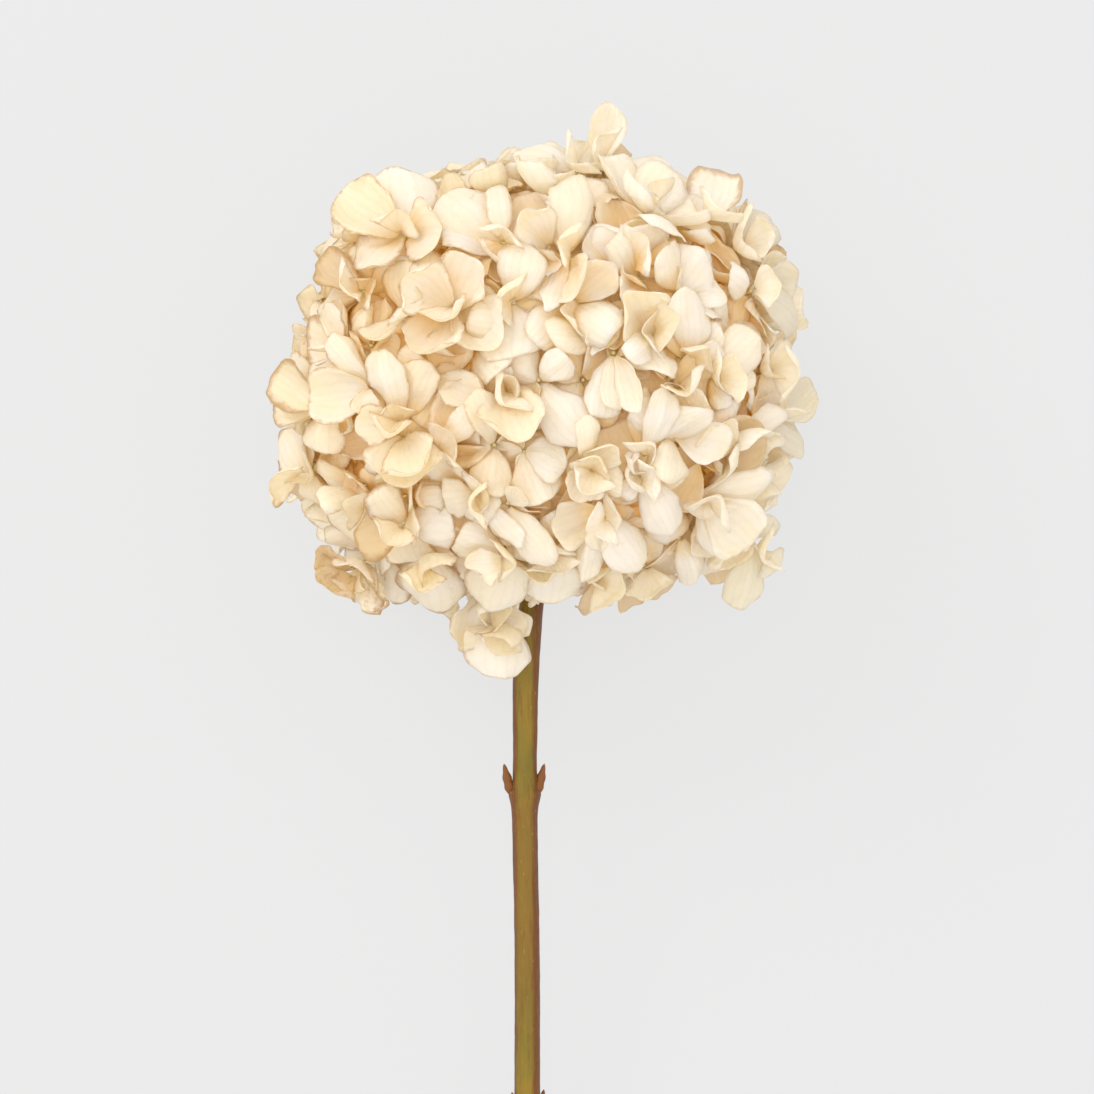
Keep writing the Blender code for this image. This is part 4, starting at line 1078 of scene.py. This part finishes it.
def bark_paint():
    """Thin bark: olive and mustard with long red-brown streaks, painted red-brown shade along its
    left and right sides, and pith at the cut.
    """
    g = Graph("woody_stem")
    place = g.field("plant", vector=True)

    def lengthwise(share, *settings):
        return g.noise(g.scaled(place, (1.0, share, 1.0)), *settings)

    streaks = lengthwise(0.10, 9.0, 5.0, 0.6)
    fibres = lengthwise(0.06, 32.0, 4.0, 0.6)
    patches = lengthwise(0.5, 1.2, 3.0)
    specks = lengthwise(0.4, 11.0, 2.0)
    x = g.add("SeparateXYZ", {}, {"Vector": place}, "X")
    y = g.add("SeparateXYZ", {}, {"Vector": place}, "Y")
    older = g.maths("SUBTRACT", g.between(y, -20.0, -17.0), g.between(y, -12.8, -11.6))
    # Painted shade: the bark turns red-brown towards its left and right sides as the camera sees
    # them.
    shaded_flank = g.maths("ABSOLUTE", g.plus(x, STEM_MIDDLE_X))
    shaded_flank = g.plus(shaded_flank, g.times(streaks, 0.14))
    mark = g.field("tone")
    colour = g.layered(g.mix(g.between(patches, 0.35, 0.65), MUSTARD, OLIVE), (
        (older, 0.6, BARK_BROWN),
        # painted red-brown shade on the stem's sides
        (g.between(shaded_flank, 0.23, 0.38), 0.85, RUSSET_STREAK_AND_SHADE),
        (g.between(streaks, 0.48, 0.70), 0.4, RUSSET_STREAK_AND_SHADE),
        (g.between(fibres, 0.52, 0.75), 0.35, BARK_PALE),
        (g.between(specks, 0.68, 0.74), 0.6, BARK_PALE),
        (g.between(mark, 0.05, 1.0), 1.0, BUD_BROWN),
        (g.between(mark, 1.5, 2.0), 1.0, CUT_WOOD),
        (g.between(mark, 2.5, 3.0), 1.0, PITH),
    ))
    normal = g.bump(g.plus(streaks, g.times(fibres, 0.6)), 0.7, 0.0005)
    return g.end(g.surface(colour, 0.5, 0.14, {"Normal": normal}))


def floor_paint():
    """A pale floor that gives off most of its own brightness."""
    g = Graph("pale_table")
    glow = {"Emission Color": TABLE_GLOW, "Emission Strength": 1.0}
    return g.end(g.surface(TABLE, 0.9, 0.1, glow))


def stem_middle(y):
    """x of the stem's centreline, and its radius, at heights y."""
    middles, heights, radii = (np.array(column)[::-1] for column in zip(*STEM_LINE))
    return np.interp(y, heights, middles), np.interp(y, heights, radii)


def waves(around, y, seed, amount, turns, pitch):
    """Seeded ripples round and along a stem."""
    draw = random.Random(seed)
    total = 0.0
    for _ in range(6):
        count = draw.choice(turns)
        rate = draw.uniform(-1, 1) * math.tau / pitch
        total = total + np.sin(around * count + y * rate + draw.uniform(0, math.tau))
    return total * amount / 2.4


def stem_piece(paint):
    """The bark as one closed tube with leaf scars and a slanted cut, and four buds."""
    skin = Skin()
    around = np.arange(STEM_SIDES)[None, :] * math.tau / STEM_SIDES
    last_y = STEM_END_Y + STEM_END_RADIUS * math.tan(STEM_CUT_ANGLE)
    heights = np.linspace(STEM_TOP_Y, last_y, STEM_RINGS)
    middles, radii = stem_middle(heights)
    middles = np.convolve(np.pad(middles, 6, mode="edge"), np.full(13, 1 / 13), mode="valid")
    y = heights[:, None]
    radius = radii[:, None]
    for ripple in STEM_RIPPLES:
        radius = radius + waves(around, y, *ripple)
    buds = [(*node, half) for *node, turn in STEM_NODES for half in (turn, turn + 180)]
    for _, node_y, facing in buds:
        away = np.cos(around + math.radians(facing))
        wide = np.clip((away - 0.35) / 0.65, 0, 1) ** 0.6
        drop = (node_y - y) / np.where(y > node_y, 0.5, 3.2)
        radius = radius + SCAR_RISE * wide * np.exp(-drop ** 2)
    inner, dip, cut_marks = (np.array(column) for column in zip(*CUT_RINGS))
    radius = np.concatenate((radius, radius[-1:] * inner[:, None]))
    middles = np.concatenate((middles, np.full(len(inner), middles[-1])))
    heights = np.concatenate((heights, last_y + dip))
    x = middles[:, None] + radius * np.cos(around)
    z = radius * np.sin(around)
    skew = np.clip((last_y + CUT_REACH - heights) / CUT_REACH, 0, 1) * math.tan(STEM_CUT_ANGLE)
    rings = np.stack((x, heights[:, None] + z * skew[:, None], z), axis=2)
    marks = np.zeros(len(heights))
    marks[-len(inner):] = cut_marks
    ends = ((middles[0], STEM_TOP_Y, 0.0), (middles[-1], last_y + CUT_DEPTH, 0.0))
    skin.rings(rings, np.array(ends), marks)
    for x, node_y, facing in buds:
        add_bud(skin, x, node_y, math.radians(facing))
    return skin.piece("stem_bark", paint)


def add_bud(skin, x, y, turn):
    """A pointed bud pressed against the stem."""
    out = np.array((math.cos(turn), 0.0, -math.sin(turn)))
    angles = np.arange(BUD_SIDES) * math.tau / BUD_SIDES
    path = []
    widths = []
    for step in np.linspace(-1, 1, 15):
        rise = (step + BUD_RISE) * BUD_LENGTH / 2
        away = BUD_OFFSET + rise * math.tan(BUD_LEAN)
        path.append(np.array((x, y, 0)) + out * away + STEM_UP * rise)
        slim = (1 - BUD_TAPER * ((step + 1) / 2) ** 2) * math.sqrt(max(1 - step * step, 0.004))
        overlap = 1 + 0.10 * math.sin(step * 9.0)
        widths.append(slim * overlap * (BUD_RADIUS + 0.06 * np.cos(angles * 5)))
    skin.tube(path, widths, BUD_SIDES, 1.0)


def ray_paths():
    """The flower stalks' rays from the knot on the stem, and each ray's two forks."""
    for i in range(RAY_COUNT):
        around = math.tau * (i + 0.5) / RAY_COUNT
        out = np.array((math.cos(around), 0, math.sin(around)))
        spread = RAY_SPREADS[i % 2]
        heading = STEM_UP * math.cos(spread) + out * math.sin(spread)
        fork = KNOT_CENTRE + (heading * (1 - FORK_LIFT) + STEM_UP * FORK_LIFT) * RAY_LENGTH
        middle = KNOT_CENTRE + heading * RAY_LENGTH * 0.5
        yield [KNOT_CENTRE, middle, fork], (RAY_RADIUS, FORK_RADIUS)
        axis = unit(np.cross(out, np.cross(heading, out)))
        for turn in (-FORK_SPREAD, FORK_SPREAD):
            end = fork + turned(heading, axis, turn) * FORK_LENGTH
            yield [fork - heading * 2, fork + heading, end], (FORK_RADIUS, FORK_RADIUS * 0.7)


def stalk_piece(florets, paint):
    """The knot, its rays and a pedicel from every floret back to the nearest ray."""
    skin = Skin()
    hub = KNOT_CENTRE + np.array((0.0, -3.4, 0.0))
    rise = np.linspace(0, 8.5, 9)
    knot = 4.4 * np.sqrt(np.clip(1 - ((rise - 3.6) / 5.6) ** 2, 0.02, 1))
    skin.tube(hub + rise[:, None] * STEM_UP, knot, 16, 0.25)
    ends = []
    for corners, (first, last) in ray_paths():
        path = bent_path(corners, 12)
        skin.tube(path, np.linspace(first, last, 12), 10, 0.1)
        ends.append(path[-1])
    ends = np.array(ends)
    for floret in florets:
        nearest = ends[np.argmin(np.linalg.norm(ends - floret.centre, axis=1))]
        back = floret.centre - floret.facing * 4.0
        path = bent_path([floret.centre, back, (back + nearest) / 2, nearest], 9)
        knob = floret.centre + floret.facing * PEDICEL_KNOB[:, None]
        path = np.concatenate((knob, path[1:]))
        skin.tube(path, PEDICEL_RADII, 7, 0.0 if floret.centre[2] > 0 else 0.2)
    return skin.piece("stalks_and_pedicels", paint)


def stage_and_light():
    """A pale floor, a bright soft surround, a lamp up on the left and one near the camera."""
    bpy.ops.mesh.primitive_plane_add(size=FLOOR_SIDE, location=(0, 0, 0))
    floor = bpy.context.object
    floor.name = "floor"
    floor.data.materials.append(floor_paint())
    world = bpy.data.worlds.new("soft_room")
    bpy.context.scene.world = world
    world.use_nodes = True
    surround = world.node_tree.nodes["Background"]
    surround.inputs["Color"].default_value = (1.0, 1.0, 1.0, 1)
    surround.inputs["Strength"].default_value = SURROUND
    for name, spot, size, power in LAMPS:
        lamp = bpy.data.lights.new(name, "AREA")
        lamp.shape = "DISK"
        lamp.size = size
        lamp.energy = power
        light = placed(name, lamp)
        light.location = spot
        light.rotation_euler = (-Vector(spot)).to_track_quat("-Z", "Y").to_euler()


def light_within():
    """Stands for the light that reaches the head's middle through sepals thinner than these."""
    lamp = bpy.data.lights.new("within", "POINT")
    lamp.color = INNER_GLOW
    lamp.energy = INNER_GLOW_POWER
    lamp.shadow_soft_size = INNER_GLOW_RADIUS
    light = placed("within", lamp)
    light.location = (0.0, 0.0, HEAD_HEIGHT * MM)
    light.visible_camera = False


def camera():
    """Looks square at the plant, as the photograph does."""
    lens = bpy.data.cameras.new("camera")
    lens.sensor_width = SENSOR_WIDTH
    lens.lens = SENSOR_WIDTH * VIEW_DISTANCE / VIEW_WIDTH
    lens.clip_end = SEEN_METRES
    eye = placed("camera", lens)
    eye.matrix_world = LAYING @ Matrix.Translation(Vector((*VIEW_MIDDLE, VIEW_DISTANCE)) * MM)
    scene = bpy.context.scene
    scene.camera = eye
    scene.cycles.max_bounces = BOUNCES
    scene.cycles.diffuse_bounces = DIFFUSE_BOUNCES
    scene.view_settings.view_transform = "Standard"
    scene.view_settings.look = "None"
    scene.view_settings.gamma = GAMMA


def main():
    upper = upper_florets()
    outer = spiral_florets(OUTER_LAYER, upper)
    under = spiral_florets(UNDER_LAYER, upper + outer)
    deep = spiral_florets(DEEP_LAYER, upper + outer)
    florets = upper + outer + under + deep
    sepals = [sepal for floret in florets for sepal in floret.sepals]
    grids = np.stack([sepal.grid() for sepal in sepals])
    grids = settle(clear_of_stem(pressed(grids)))
    cover = covering(grids)
    paper = sepal_paint()
    half = len(outer) // 2
    shown = 0
    for name, group, rows, columns in (
        ("upper_sepals_left", upper[:FIRST_UPPER_PIECE], 17, 13),
        ("upper_sepals_right", upper[FIRST_UPPER_PIECE:], 17, 13),
        ("outer_sepals_low", outer[:half], 11, 8),
        ("outer_sepals_high", outer[half:], 11, 8),
        ("under_sepals", under, 9, 7),
        ("inner_sepals", deep, 8, 6),
    ):
        count = sum(len(floret.sepals) for floret in group)
        part = slice(shown, shown + count)
        shown += count
        piece = sepal_piece(name, grids[part], cover[part], sepals[part], rows, columns, paper)
        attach(piece, "root")
        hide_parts("flower_head")
    stalks = stalk_piece(florets, stalk_paint())
    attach(stalks, "root")
    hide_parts("flower_stalks")
    bark = stem_piece(bark_paint())
    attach(bark, "root")
    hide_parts("stem")
    stage_and_light()
    light_within()
    camera()


main()
